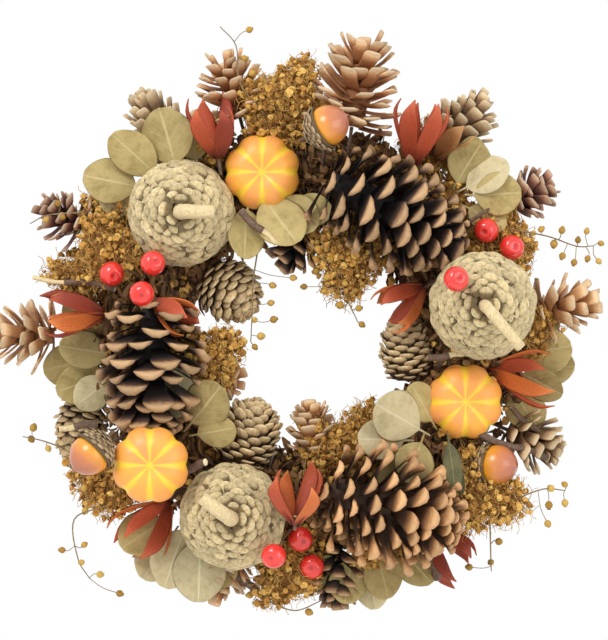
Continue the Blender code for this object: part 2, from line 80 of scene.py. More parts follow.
RING_LOW, RING_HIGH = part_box("base_ring")
RING_CENTRE = (RING_LOW + RING_HIGH) / 2
RING_CENTRE.y = 0
RING_OUTER = (RING_HIGH.x - RING_LOW.x) / 2
RING_FRONT_Y = RING_LOW.y
RING_BACK_Y = RING_HIGH.y


def node_points(name):
    """Corners of a CAD node, one to a row."""
    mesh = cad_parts[name].data
    points = np.empty(len(mesh.vertices) * 3, np.float32)
    mesh.vertices.foreach_get("co", points)
    return points.reshape(-1, 3).astype(float)


def ring_inner_radius():
    """Distance from the ring's centre to its inner edge, from the base's own corners."""
    points = node_points("base_ring")
    away = np.hypot(points[:, 0] - RING_CENTRE.x, points[:, 2] - RING_CENTRE.z)
    return float(away.min())


# Radius of the circle midway between the ring's inner and outer edges
RING_LINE = (RING_OUTER + ring_inner_radius()) / 2
RING_HALF_WIDTH = RING_OUTER - RING_LINE


# ---------------------------------------------------------------- places


def clock_direction(clock):
    """Unit vector across the wreath's face, in degrees clockwise from the top."""
    angle = math.radians(clock)
    return Vector((math.sin(angle), 0, math.cos(angle)))


def spot(clock, out, depth):
    """Point at a clock angle, millimetres out from the ring's centre line and in front of the door face."""
    point = RING_CENTRE + clock_direction(clock) * (RING_LINE + out * MM)
    point.y = RING_BACK_Y - depth * MM
    return point


def aim(along, facing=FRONT):
    """Turn that points local +Z along a direction, with local -Y as near to facing as it can be."""
    along = along.normalized()
    behind = -facing + along * along.dot(facing)
    if behind.length < 1e-3:
        behind = -UP + along * along.dot(UP)
    behind.normalize()
    return Matrix((behind.cross(along), behind, along)).transposed()


def heading(clock, lean):
    """Direction along a clock heading that leans toward the front by so many degrees."""
    tilt = math.radians(lean)
    return clock_direction(clock) * math.cos(tilt) + FRONT * math.sin(tilt)


def frame_at(point, turn):
    """Matrix that turns a piece and then moves it to a point."""
    return Matrix.Translation(point) @ turn.to_4x4()


class Stance(NamedTuple):
    """How a CAD solid of revolution stands: the middle and ends of its body, its axis and widest radius."""

    low: Vector
    high: Vector
    axis: Vector
    radius: float


# Anything slimmer is a wire pick and not the body
PICK_LIMIT = 1.6 * MM
# Share of a node's length that counts as its end
END_SHARE = 0.03


def stance(name):
    """Reads a turned node's axis, from its stem end to its tip, leaving out its thin wire pick."""
    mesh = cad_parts[name].data
    points = node_points(name)
    corners = np.array([tuple(polygon.vertices)[:3] for polygon in mesh.polygons])
    a, b, c = points[corners[:, 0]], points[corners[:, 1]], points[corners[:, 2]]
    area = np.linalg.norm(np.cross(b - a, c - a), axis=1) / 2
    middle = (a + b + c) / 3
    centre = (middle * area[:, None]).sum(0) / area.sum()
    offset = middle - centre
    values, axes = np.linalg.eigh((offset * area[:, None]).T @ offset / area.sum())
    # The axis is the direction whose spread differs most from the other two
    distinct = 2 if values[2] - values[1] > values[1] - values[0] else 0
    axis = axes[:, distinct]
    along = (points - centre) @ axis
    away = np.linalg.norm((points - centre) - np.outer(along, axis), axis=1)
    span = along.max() - along.min()
    low_end = away[along < along.min() + END_SHARE * span].max()
    high_end = away[along > along.max() - END_SHARE * span].max()
    if min(low_end, high_end) < PICK_LIMIT:
        flip = high_end < low_end
    else:
        half = (along.max() + along.min()) / 2
        flip = away[along > half].mean() > away[along < half].mean()
    if flip:
        axis, along = -axis, -along
    body = away > PICK_LIMIT
    low = Vector(centre + axis * along[body].min())
    high = Vector(centre + axis * along[body].max())
    return Stance(low, high, Vector(axis), float(away.max()))


# ---------------------------------------------------------------- nodes


def linear(code):
    """Linear RGB of an sRGB hex colour."""
    parts = [int(code[index : index + 2], 16) / 255 for index in (1, 3, 5)]
    return tuple(part / 12.92 if part <= 0.04045 else ((part + 0.055) / 1.055) ** 2.4 for part in parts)


def add(tree, kind, values=None, **settings):
    """Adds a node; a value that is a socket is linked, and any other is set."""
    node = tree.nodes.new(kind)
    for key, value in settings.items():
        setattr(node, key, value)
    for key, value in (values or {}).items():
        if isinstance(value, bpy.types.NodeSocket):
            tree.links.new(value, node.inputs[key])
        elif value is not None:
            node.inputs[key].default_value = value
    return node


def finish(name, roughness, metallic=0.0, **sockets):
    """A material with a Principled shader, ready for its pattern."""
    made = bpy.data.materials.new(name)
    made.use_nodes = True
    shader = made.node_tree.nodes["Principled BSDF"]
    shader.inputs["Roughness"].default_value = roughness
    shader.inputs["Metallic"].default_value = metallic
    for key, value in sockets.items():
        shader.inputs[key.replace("_", " ")].default_value = value
    return made, made.node_tree, shader


def math_node(tree, operation, first, second=None):
    """Output of one sum on sockets or numbers."""
    return add(tree, "ShaderNodeMath", {0: first, 1: second}, operation=operation).outputs[0]


def attribute(tree, name):
    """A value that the mesh carries at its points."""
    return add(tree, "ShaderNodeAttribute", attribute_name=name).outputs["Fac"]


def noise(tree, size_mm, detail=3.0, rough=0.55, stretch=None):
    """Noise on Object coordinates whose features are about this many millimetres across."""
    place = add(tree, "ShaderNodeTexCoord").outputs["Object"]
    if stretch:
        place = add(tree, "ShaderNodeMapping", {"Vector": place, "Scale": stretch}).outputs[0]
    sockets = {"Vector": place, "Scale": 1 / (size_mm * MM), "Detail": detail, "Roughness": rough}
    return add(tree, "ShaderNodeTexNoise", sockets).outputs["Fac"]


def ramp(tree, factor, stops):
    """Colour ramp through (place, hex colour) stops."""
    node = add(tree, "ShaderNodeValToRGB", {"Fac": factor})
    elements = node.color_ramp.elements
    while len(elements) < len(stops):
        elements.new(1.0)
    for element, (place, code) in zip(elements, stops):
        element.position = place
        element.color = (*linear(code), 1.0)
    return node.outputs["Color"]


def blend(tree, factor, first, second, how="MIX"):
    """Mixes two colours, each a socket or a linear colour."""
    node = add(tree, "ShaderNodeMix", {0: factor}, data_type="RGBA", blend_type=how)
    for index, value in ((6, first), (7, second)):
        if isinstance(value, bpy.types.NodeSocket):
            tree.links.new(value, node.inputs[index])
        else:
            node.inputs[index].default_value = (*value, 1.0)
    return node.outputs[2]


def bump(tree, shader, height, depth_mm, strength=0.6):
    """Fine relief of this depth on the shader."""
    node = add(tree, "ShaderNodeBump", {"Height": height, "Strength": strength, "Distance": depth_mm * MM})
    tree.links.new(node.outputs[0], shader.inputs["Normal"])


def shade_range(tree, factor, low, high):
    """A grey value from low to high, to multiply a colour by."""
    return add(tree, "ShaderNodeMapRange", {"Value": factor, 3: low, 4: high}).outputs[0]


def tinted(tree, colour, low=0.8, high=1.15):
    """Colour made a little lighter or darker for each scale, floret or leaf."""
    value = shade_range(tree, attribute(tree, "tint"), low, high)
    node = add(tree, "ShaderNodeHueSaturation", {"Value": value, "Color": colour})
    return node.outputs[0]


# ---------------------------------------------------------------- materials


def cone_scale_finish(name, shaded_heart, middle, lip, edge):
    """Dry woody cone scale: darker toward the heart as painted shade deep among the scales, weathered pale at
    the thick lip.
    """
    made, tree, shader = finish(name, 0.72)
    along = math_node(tree, "ADD", attribute(tree, "along"), shade_range(tree, noise(tree, 3.0), -0.08, 0.08))
    # The heart colour over each scale's hidden root is painted shade deep in the cone
    colour = ramp(tree, along, [(0.0, shaded_heart), (0.62, shaded_heart), (0.80, middle), (0.90, lip), (1.0, edge)])
    # Fibre streaks about half a millimetre wide, drawn twice as coarse so that they show
    streak = shade_range(tree, noise(tree, 1.1, 4.0, 0.7), 0.72, 1.18)
    colour = blend(tree, 1.0, tinted(tree, colour, 0.78, 1.2), streak, "MULTIPLY")
    tree.links.new(colour, shader.inputs["Base Color"])
    bump(tree, shader, noise(tree, 0.9, 5.0, 0.7), 0.35)
    return made


def shield_finish(name, crevice_shade, face, rim):
    """Closed cone scale: chalky beige shield with a greyer rim, and painted shade in the crevice under it."""
    made, tree, shader = finish(name, 0.8)
    along = math_node(tree, "ADD", attribute(tree, "along"), shade_range(tree, noise(tree, 2.5), -0.1, 0.1))
    # The first colour, over the hidden root of each shield, is painted shade in the crevice under the next
    colour = ramp(tree, along, [(0.0, crevice_shade), (0.44, crevice_shade), (0.64, face), (0.86, face), (0.97, rim)])
    # Fine grooves that fan out from each shield's root
    bend = math_node(tree, "MULTIPLY", noise(tree, 2.0), 9.0)
    fan = math_node(tree, "MULTIPLY", attribute(tree, "across"), 9.0)
    groove = math_node(tree, "SINE", math_node(tree, "ADD", fan, bend))
    grit = math_node(tree, "ADD", math_node(tree, "MULTIPLY", groove, 0.20), noise(tree, 0.8, 4.0, 0.7))
    shade = shade_range(tree, grit, 0.66, 1.18)
    colour = blend(tree, 1.0, tinted(tree, colour, 0.78, 1.18), shade, "MULTIPLY")
    tree.links.new(colour, shader.inputs["Base Color"])
    bump(tree, shader, grit, 0.5, 0.8)
    return made


def foam_finish():
    """Moulded foam with brushed paint: peach lobes, yellow grooves, matte with fine pores."""
    made, tree, shader = finish("painted_foam_brushed", 0.40)
    groove = attribute(tree, "groove")
    patch = noise(tree, 14.0, 2.0, 0.5)
    lobe = ramp(tree, patch, [(0.32, "#EA9858"), (0.52, "#EFA047"), (0.70, "#F0A93A")])
    stroke = math_node(tree, "ADD", groove, shade_range(tree, noise(tree, 3.0), -0.24, 0.24))
    mask = ramp(tree, stroke, [(0.28, "#000000"), (0.95, "#FFFFFF")])
    colour = blend(tree, mask, lobe, linear("#F6C63A"))
    tree.links.new(colour, shader.inputs["Base Color"])
    bump(tree, shader, noise(tree, 0.9, 3.0), 0.12, 0.4)
    return made


def lacquer_finish():
    """Dipped red lacquer over a foam ball: deep gloss, a darker navel at the pole."""
    made, tree, shader = finish("red_lacquer_dipped", 0.12, Coat_Weight=0.6, Coat_Roughness=0.05)
    patch = noise(tree, 6.0, 2.0)
    skin = ramp(tree, patch, [(0.3, "#D8251F"), (0.7, "#EA3F36")])
    navel = ramp(tree, attribute(tree, "along"), [(0.90, "#000000"), (0.99, "#FFFFFF")])
    tree.links.new(blend(tree, navel, skin, linear("#A81A16")), shader.inputs["Base Color"])
    return made


def nut_finish():
    """Turned wooden nut under satin varnish: golden at the cap, warm orange, pink-brown at the point."""
    made, tree, shader = finish("acorn_varnish", 0.28, Coat_Weight=0.35, Coat_Roughness=0.15)
    along = math_node(tree, "ADD", attribute(tree, "along"), shade_range(tree, noise(tree, 8.0), -0.14, 0.14))
    colour = ramp(tree, along, [(0.30, "#E0A21C"), (0.50, "#DE9230"), (0.72, "#C67A48"), (0.95, "#AD6850")])
    grain = shade_range(tree, noise(tree, 1.4, 3.0), 0.9, 1.08)
    tree.links.new(blend(tree, 1.0, colour, grain, "MULTIPLY"), shader.inputs["Base Color"])
    bump(tree, shader, noise(tree, 2.0), 0.08, 0.3)
    return made


def petal_finish(name, root, middle, tip):
    """Dyed woody pod petal: matte, with fibres that run from root to tip."""
    made, tree, shader = finish(name, 0.62)
    colour = ramp(tree, attribute(tree, "along"), [(0.0, root), (0.3, middle), (0.75, middle), (1.0, tip)])
    across = attribute(tree, "across")
    fibre = math_node(tree, "SINE", math_node(tree, "MULTIPLY", across, 26.0))
    fibre = math_node(tree, "ADD", math_node(tree, "MULTIPLY", fibre, 0.25), noise(tree, 1.6, 4.0))
    shade = shade_range(tree, fibre, 0.7, 1.15)
    colour = blend(tree, 1.0, tinted(tree, colour, 0.8, 1.15), shade, "MULTIPLY")
    tree.links.new(colour, shader.inputs["Base Color"])
    bump(tree, shader, fibre, 0.3)
    return made


def leaf_finish(name, blade, blotch, vein):
    """Pressed dried leaf: matte papery blade, paler midrib and side veins."""
    made, tree, shader = finish(name, 0.68)
    along = attribute(tree, "along")
    across = math_node(tree, "ABSOLUTE", attribute(tree, "across"))
    patch = noise(tree, 9.0, 4.0, 0.6)
    colour = ramp(tree, patch, [(0.34, blotch), (0.56, blade), (0.75, blade)])
    slant = math_node(tree, "SUBTRACT", along, math_node(tree, "MULTIPLY", across, 0.34))
    wave = math_node(tree, "SINE", math_node(tree, "MULTIPLY", slant, 2 * math.pi * 8))
    side_vein = add(tree, "ShaderNodeMapRange", {"Value": wave, 1: 0.86, 2: 1.0}).outputs[0]
    midrib = add(tree, "ShaderNodeMapRange", {"Value": across, 1: 0.07, 2: 0.02}).outputs[0]
    veins = math_node(tree, "MAXIMUM", math_node(tree, "MULTIPLY", side_vein, 0.24),
                      math_node(tree, "MULTIPLY", midrib, 0.7))
    colour = blend(tree, veins, tinted(tree, colour, 0.85, 1.12), linear(vein))
    colour = blend(tree, 1.0, colour, shade_range(tree, noise(tree, 1.0, 4.0), 0.86, 1.1), "MULTIPLY")
    tree.links.new(colour, shader.inputs["Base Color"])
    bump(tree, shader, math_node(tree, "ADD", veins, noise(tree, 1.5)), 0.25)
    return made


def floret_finish(name, dark, body, light):
    """Dried florets: crisp, matte, ochre to brown from one to the next."""
    made, tree, shader = finish(name, 0.82)
    mix = math_node(tree, "ADD", math_node(tree, "MULTIPLY", attribute(tree, "tint"), 0.75),
                    math_node(tree, "MULTIPLY", noise(tree, 1.5, 3.0), 0.25))
    colour = ramp(tree, mix, [(0.08, dark), (0.45, body), (0.95, light)])
    tree.links.new(colour, shader.inputs["Base Color"])
    bump(tree, shader, noise(tree, 0.6, 4.0), 0.2)
    return made


def bark_finish(name, dark, light, cut):
    """Twig bark with lengthwise cracks; the sawn ends show pale wood."""
    made, tree, shader = finish(name, 0.85)
    colour = ramp(tree, noise(tree, 1.6, 5.0, 0.7), [(0.3, dark), (0.7, light)])
    colour = blend(tree, attribute(tree, "cut"), colour, linear(cut))
    tree.links.new(colour, shader.inputs["Base Color"])
    bump(tree, shader, noise(tree, 1.0, 5.0, 0.7), 0.5)
    return made


def straw_finish():
    """Bundled straw and vine: each strand its own brown, with a waxy dry sheen."""
    made, tree, shader = finish("bound_straw_dried", 0.7)
    colour = ramp(tree, attribute(tree, "tint"), [(0.0, "#4A331E"), (0.5, "#80603A"), (1.0, "#B8945C")])
    colour = blend(tree, 1.0, colour, shade_range(tree, noise(tree, 1.5, 4.0), 0.75, 1.15), "MULTIPLY")
    tree.links.new(colour, shader.inputs["Base Color"])
    bump(tree, shader, noise(tree, 0.8, 4.0), 0.25)
    return made


def wire_finish():
    """Galvanised steel wire, drawn: grey, softly reflective, with faint zinc bloom."""
    made, tree, shader = finish("galvanised_wire_drawn", 0.36, 1.0)
    bloom = noise(tree, 2.0, 3.0)
    colour = ramp(tree, bloom, [(0.3, "#8E8C88"), (0.7, "#B7B5B0")])
    tree.links.new(colour, shader.inputs["Base Color"])
    tree.links.new(shade_range(tree, bloom, 0.28, 0.5), shader.inputs["Roughness"])
    bump(tree, shader, noise(tree, 0.5), 0.02, 0.3)
    return made


def floor_finish():
    """Matte painted board, faintly mottled."""
    made, tree, shader = finish("floor_matte_paint", 0.9)
    colour = ramp(tree, noise(tree, 60.0), [(0.3, "#F4F3F1"), (0.7, "#FAFAF8")])
    tree.links.new(colour, shader.inputs["Base Color"])
    return made


FINISHES = {}


def build_finishes():
    """Makes every material once."""
    FINISHES.update(
        # In each cone scale finish the first colour, the heart, is painted shade deep among the scales
        cone_dark=cone_scale_finish("pine_scale_dark_dried", "#1C1310", "#54392A", "#9F7A57", "#BA966C"),
        cone_warm=cone_scale_finish("pine_scale_warm_dried", "#4E3422", "#9A6C42", "#BF8F5E", "#CDA070"),
        cone_red=cone_scale_finish("pine_scale_red_dried", "#A06A40", "#CC996A", "#DDB88C", "#C4AA88"),
        cone_tan=cone_scale_finish("pine_scale_tan_dried", "#AA784C", "#D4A878", "#E2C096", "#C8AE8A"),
        cone_grey=cone_scale_finish("pine_scale_grey_dried", "#73563A", "#AC8C66", "#C9AE86", "#CAB692"),
        cone_plum=cone_scale_finish("pine_scale_plum_dried", "#633C30", "#95664F", "#B68B6C", "#B39C82"),
        # In each shield finish the first colour is painted shade in the crevices under the shields
        shield_beige=shield_finish("closed_scale_beige", "#75623E", "#CBB687", "#E2D2A8"),
        shield_tan=shield_finish("closed_scale_tan", "#5C4326", "#CBAE80", "#E2CA9E"),
        shield_grey=shield_finish("closed_scale_grey", "#553F28", "#B89C70", "#D2BA90"),
        stem_pale=bark_finish("peeled_stem", "#BFA678", "#E2D0A4", "#EFE0B8"),
        foam=foam_finish(),
        lacquer=lacquer_finish(),
        nut=nut_finish(),
        # The cup's first colour is painted shade under and between its tiles
        cap=shield_finish("acorn_cup_scales", "#7A6244", "#AC946E", "#BDA683"),
        petal_red=petal_finish("dyed_pod_red", "#6A2412", "#B64C2A", "#CA6238"),
        petal_maroon=petal_finish("dyed_pod_maroon", "#4A180E", "#94371F", "#B44E30"),
        petal_brown=petal_finish("dried_pod_brown", "#6A3C20", "#AE7844", "#C9965C"),
        petal_orange=petal_finish("dyed_pod_orange", "#8A3512", "#CC6A2E", "#D97F3E"),
        leaf_olive=leaf_finish("pressed_leaf_olive", "#B09C64", "#97834C", "#C8B884"),
        leaf_pale=leaf_finish("pressed_leaf_pale", "#CABB90", "#B1A378", "#DBCFAC"),
        leaf_green=leaf_finish("pressed_leaf_green", "#66623A", "#4E4C2A", "#918C5C"),
        floret_gold=floret_finish("dried_floret_ochre", "#7A4F1A", "#C29040", "#E4BE68"),
        floret_brown=floret_finish("dried_floret_brown", "#3B2617", "#6F4C28", "#967044"),
        fibre=floret_finish("dried_fibre_tan", "#8F6228", "#C0914A", "#D8B26C"),
        pod=floret_finish("seed_pod_ochre", "#85601F", "#B28A38", "#CBA856"),
        bark=bark_finish("twig_bark", "#4B382C", "#7E6552", "#EBD9AE"),
        stalk=bark_finish("hair_stalk", "#6E5A3C", "#96805A", "#96805A"),
        straw=straw_finish(),
        wire=wire_finish(),
        floor=floor_finish(),
    )


# ---------------------------------------------------------------- shapes


class Shape:
    """Points, faces and per-point values that become one mesh."""

    def __init__(self):
        self.points = []
        self.faces = []
        self.values = {}

    def put(self, point, **values):
        """Adds a point and the values that it carries."""
        for name, number in values.items():
            self.values.setdefault(name, {})[len(self.points)] = number
        self.points.append(Vector(point))

    def rings(self, rings, values=None, closed=False, capped=True):
        """Skins rings of equal count; values gives the per-point numbers of each ring as dictionaries."""
        start = len(self.points)
        sides = len(rings[0])
        for row, ring in enumerate(rings):
            for side, point in enumerate(ring):
                self.put(point, **(values[row][side] if values else {}))
        for row in range(len(rings) if closed else len(rings) - 1):
            here = start + row * sides
            there = start + (row + 1) % len(rings) * sides
            for side in range(sides):
                after = (side + 1) % sides
                self.faces.append((here + side, here + after, there + after, there + side))
        if capped and not closed:
            last = len(self.points) - sides
            self.faces.append(tuple(start + side for side in reversed(range(sides))))
            self.faces.append(tuple(last + side for side in range(sides)))

    def mesh(self, name, material, smooth=True):
        """The plain mesh, with its faces turned outward."""
        mesh = bpy.data.meshes.new(name)
        mesh.from_pydata([tuple(point) for point in self.points], [], self.faces)
        for label, numbers in self.values.items():
            layer = mesh.attributes.new(label, "FLOAT", "POINT")
            for index, number in numbers.items():
                layer.data[index].value = number
        work = bmesh.new()
        work.from_mesh(mesh)
        bmesh.ops.recalc_face_normals(work, faces=work.faces)
        work.to_mesh(mesh)
        work.free()
        if smooth:
            mesh.shade_smooth()
        mesh.materials.append(material)
        return mesh


def place(mesh, matrix):
    """Moves a mesh's own points, so that its object can stay at the origin."""
    mesh.transform(matrix)
    return mesh


def gather(name, meshes):
    """Joins meshes into one object; the given meshes are used up."""
    work = bmesh.new()
    materials = []
    for mesh in meshes:
        start = len(work.faces)
        work.from_mesh(mesh)
        work.faces.ensure_lookup_table()
        slots = []
        for material in mesh.materials:
            if material not in materials:
                materials.append(material)
            slots.append(materials.index(material))
        for face in work.faces[start:]:
            face.material_index = slots[face.material_index] if slots else 0
    joined = bpy.data.meshes.new(name)
    work.to_mesh(joined)
    work.free()
    for material in materials:
        joined.materials.append(material)
    for mesh in meshes:
        bpy.data.meshes.remove(mesh)
    made = bpy.data.objects.new(name, joined)
    bpy.context.scene.collection.objects.link(made)
    return made


def dress(name, meshes, node):
    """One finished piece: joined, riding on the wreath, and standing for its CAD node if it has one."""
    made = gather(name, meshes)
    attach(made, BODY)
    if node:
        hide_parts(node)


def paint(mesh, label, number):
    """Gives every point of a mesh the same value."""
    layers = mesh.attributes
    layer = layers[label] if label in layers else layers.new(label, "FLOAT", "POINT")
    for entry in layer.data:
        entry.value = number


def bell(distance, width):
    """Smooth hump, one high at no distance and nearly flat beyond twice its width."""
    return math.exp(-((distance / width) ** 2))


def circle(radius, height, sides):
    """Points of a level circle round local Z."""
    angles = [2 * math.pi * side / sides for side in range(sides)]
    return [Vector((radius * math.cos(angle), radius * math.sin(angle), height)) for angle in angles]


def turned(name, profile, sides, material, label="along"):
    """Solid of revolution through (radius, height, value) points."""
    shape = Shape()
    rings = [circle(radius, height, sides) for radius, height, _ in profile]
    values = [[{label: value}] * sides for _, _, value in profile]
    shape.rings(rings, values)
    return shape.mesh(name, material)


def smooth_path(points, steps=4):
    """Catmull-Rom curve through the given points."""
    path = []
    ends = [points[0] * 2 - points[1]] + list(points) + [points[-1] * 2 - points[-2]]
    for index in range(1, len(ends) - 2):
        p0, p1, p2, p3 = ends[index - 1 : index + 3]
        for step in range(steps):
            t = step / steps
            path.append(0.5 * (2 * p1 + (p2 - p0) * t + (2 * p0 - 5 * p1 + 4 * p2 - p3) * t * t
                               + (3 * p1 - p0 - 3 * p2 + p3) * t ** 3))
    path.append(points[-1].copy())
    return path


# How far a sawn face stands out, and how far it starts in from the bark as a share of the radius
CUT_RISE = 0.3 * MM
CUT_INSET = 0.12


def cut_face(end, before, ring):
    """Ring a little inside and beyond a tube's end, where its pale sawn face begins."""
    nudge = (end - before).normalized() * CUT_RISE
    return [point.lerp(end, CUT_INSET) + nudge for point in ring]


def tube(name, path, radii, sides, material, cut_ends=False, rough=0.0, seed=0):
    """Round tube along a path, its radius given at each point; cut ends are marked for pale wood."""
    draw = random.Random(seed)
    shape = Shape()
    rings = []
    values = []
    beside = None
    for index, point in enumerate(path):
        tangent = (path[min(index + 1, len(path) - 1)] - path[max(index - 1, 0)]).normalized()
        if beside is None:
            beside = tangent.orthogonal().normalized()
        beside = (beside - tangent * beside.dot(tangent)).normalized()
        other = tangent.cross(beside)
        ring = []
        for side in range(sides):
            angle = 2 * math.pi * side / sides
            reach = radii[index] * (1 + rough * draw.uniform(-1, 1))
            ring.append(point + (beside * math.cos(angle) + other * math.sin(angle)) * reach)
        rings.append(ring)
        values.append([{"cut": 0.0}] * sides)
    if cut_ends:
        rings = [cut_face(path[0], path[1], rings[0]), *rings, cut_face(path[-1], path[-2], rings[-1])]
        values = [[{"cut": 1.0}] * sides, *values, [{"cut": 1.0}] * sides]
    shape.rings(rings, values)
    return shape.mesh(name, material)


def strap(name, sections, material, points_round=8, tint=None, above=0.65):
    """Flat tapering blade along local +X, as scales, petals and leaves are.

    Each section is (along, half width, thickness, lift, cup): where it lies, how wide and thick it is, how
    far it is raised, and how far its edges curl up. Above is the share of the thickness on its upper side.
    A blade that is stamped out many times has no tint, because each copy gets its own.
    """
    shape = Shape()
    rings = []
    values = []
    start, end = sections[0][0], sections[-1][0]
    half_count = points_round // 2
    for along, width, thick, lift, cup in sections:
        ring = []
        labels = []
        for side in range(points_round):
            angle = 2 * math.pi * side / points_round
            across = math.cos(angle)
            rise = math.sin(angle)
            up = rise * thick * (above if side < half_count else 1 - above)
            ring.append(Vector((along, across * width, lift + up + cup * across * across)))
            labels.append({"along": (along - start) / (end - start), "across": across})
            if tint is not None:
                labels[-1]["tint"] = tint
        rings.append(ring)
        values.append(labels)
    shape.rings(rings, values)
    return shape.mesh(name, material)


# ---------------------------------------------------------------- repeats by geometry nodes


def new_tree(name, inputs):
    """Geometry Nodes tree with named inputs, given as (name, socket type, default)."""
    tree = bpy.data.node_groups.new(name, "GeometryNodeTree")
    tree.interface.new_socket("Geometry", in_out="INPUT", socket_type="NodeSocketGeometry")
    tree.interface.new_socket("Geometry", in_out="OUTPUT", socket_type="NodeSocketGeometry")
    for label, kind, default in inputs:
        socket = tree.interface.new_socket(label, in_out="INPUT", socket_type=kind)
        if default is not None:
            socket.default_value = default
    return tree, add(tree, "NodeGroupInput").outputs


def random_value(tree, low, high, seed):
    """A random number for each point, between two sockets or numbers."""
    return add(tree, "FunctionNodeRandomValue", {2: low, 3: high, "Seed": seed}, data_type="FLOAT").outputs[1]


def close_tree(tree, instances, seed, material):
    """Gives each instance its tint, makes the instances real and sets their material."""
    labelled = add(tree, "GeometryNodeStoreNamedAttribute",
                   {"Geometry": instances, "Name": "tint", "Value": random_value(tree, 0.0, 1.0, seed)},
                   data_type="FLOAT", domain="INSTANCE")
    real = add(tree, "GeometryNodeRealizeInstances", {0: labelled.outputs[0]})
    coloured = add(tree, "GeometryNodeSetMaterial", {"Geometry": real.outputs[0], "Material": material})
    add(tree, "NodeGroupOutput", {0: coloured.outputs[0]})
    return tree


FLOAT = "NodeSocketFloat"
GOLDEN_ANGLE = math.pi * (3 - math.sqrt(5))
# Smallest and largest scale against the usual
SCALE_VARIETY = (0.84, 1.13)


def scale_spiral_tree():
    """Scales set round an axis at the golden angle, leaning further toward the tip row by row."""
    tree, given = new_tree("scale_spiral", [
        ("Scale", "NodeSocketObject", None), ("Material", "NodeSocketMaterial", None),
        ("Count", "NodeSocketInt", 80), ("Seed", "NodeSocketInt", 0),
        ("Length", FLOAT, 0.08), ("Radius", FLOAT, 0.03),
        ("Outline Start", FLOAT, 0.18), ("Outline Span", FLOAT, 0.76), ("Outline Power", FLOAT, 0.7),
        ("Core", FLOAT, 0.2), ("Reach", FLOAT, 0.8), ("Width", FLOAT, 0.016), ("Thickness", FLOAT, 0.016),
        ("Lean Base", FLOAT, 0.0), ("Lean Tip", FLOAT, 1.0),
        ("Jitter", FLOAT, 0.06), ("Evenness", FLOAT, 0.0),
    ])

    def run(operation, *values):
        return math_node(tree, operation, *values)

    index = add(tree, "GeometryNodeInputIndex").outputs[0]
    share = run("DIVIDE", run("ADD", index, 0.5), given["Count"])
    # The cone's girth is part of a sine arch, from its start over its span
    arch = run("ADD", given["Outline Start"], run("MULTIPLY", share, given["Outline Span"]))
    swell = run("SINE", run("MULTIPLY", arch, math.pi))
    outline = run("POWER", run("MAXIMUM", swell, 0.0), given["Outline Power"])
    envelope = run("MULTIPLY", outline, given["Radius"])
    angle = run("MULTIPLY", index, GOLDEN_ANGLE)
    reach = run("MULTIPLY", envelope, given["Core"])
    height = run("MULTIPLY", run("SUBTRACT", share, 0.5), given["Length"])
    where = add(tree, "ShaderNodeCombineXYZ", {
        0: run("MULTIPLY", reach, run("COSINE", angle)),
        1: run("MULTIPLY", reach, run("SINE", angle)), 2: height})
    # The lean follows the arc over the cone, so it changes fastest at the two ends
    arc = run("ARCSINE", run("SUBTRACT", run("MULTIPLY", share, 2.0), 1.0))
    arc_share = run("ADD", run("DIVIDE", arc, math.pi), 0.5)
    lean_change = run("SUBTRACT", given["Lean Tip"], given["Lean Base"])
    lean = run("ADD", given["Lean Base"], run("MULTIPLY", arc_share, lean_change))
    slack = run("MULTIPLY", given["Jitter"], -1.0)
    lean = run("ADD", lean, random_value(tree, slack, given["Jitter"], given["Seed"]))
    twist = random_value(tree, slack, given["Jitter"], run("ADD", given["Seed"], 1.0))
    turn = add(tree, "ShaderNodeCombineXYZ", {0: twist, 1: run("MULTIPLY", lean, -1.0), 2: angle})
    vary = random_value(tree, *SCALE_VARIETY, run("ADD", given["Seed"], 2.0))
    # Evenness 0 makes scales shrink with the cone's outline, and 1 keeps them all one size
    shrunk = run("SUBTRACT", 1.0, given["Evenness"])
    even = run("ADD", run("MULTIPLY", outline, shrunk), given["Evenness"])
    girth = run("MULTIPLY", run("POWER", even, 0.8), vary)
    size = add(tree, "ShaderNodeCombineXYZ", {
        0: run("MULTIPLY", run("MULTIPLY", run("MULTIPLY", even, given["Radius"]), given["Reach"]), vary),
        1: run("MULTIPLY", girth, given["Width"]), 2: run("MULTIPLY", girth, given["Thickness"])})
    points = add(tree, "GeometryNodePoints", {"Count": given["Count"], "Position": where.outputs[0]})
    shape = add(tree, "GeometryNodeObjectInfo", {"Object": given["Scale"]}).outputs["Geometry"]
    copies = add(tree, "GeometryNodeInstanceOnPoints", {
        "Points": points.outputs[0], "Instance": shape,
        "Rotation": turn.outputs[0], "Scale": size.outputs[0]})
    return close_tree(tree, copies.outputs[0], run("ADD", given["Seed"], 3.0), given["Material"])


FULL_TURN = 6.28


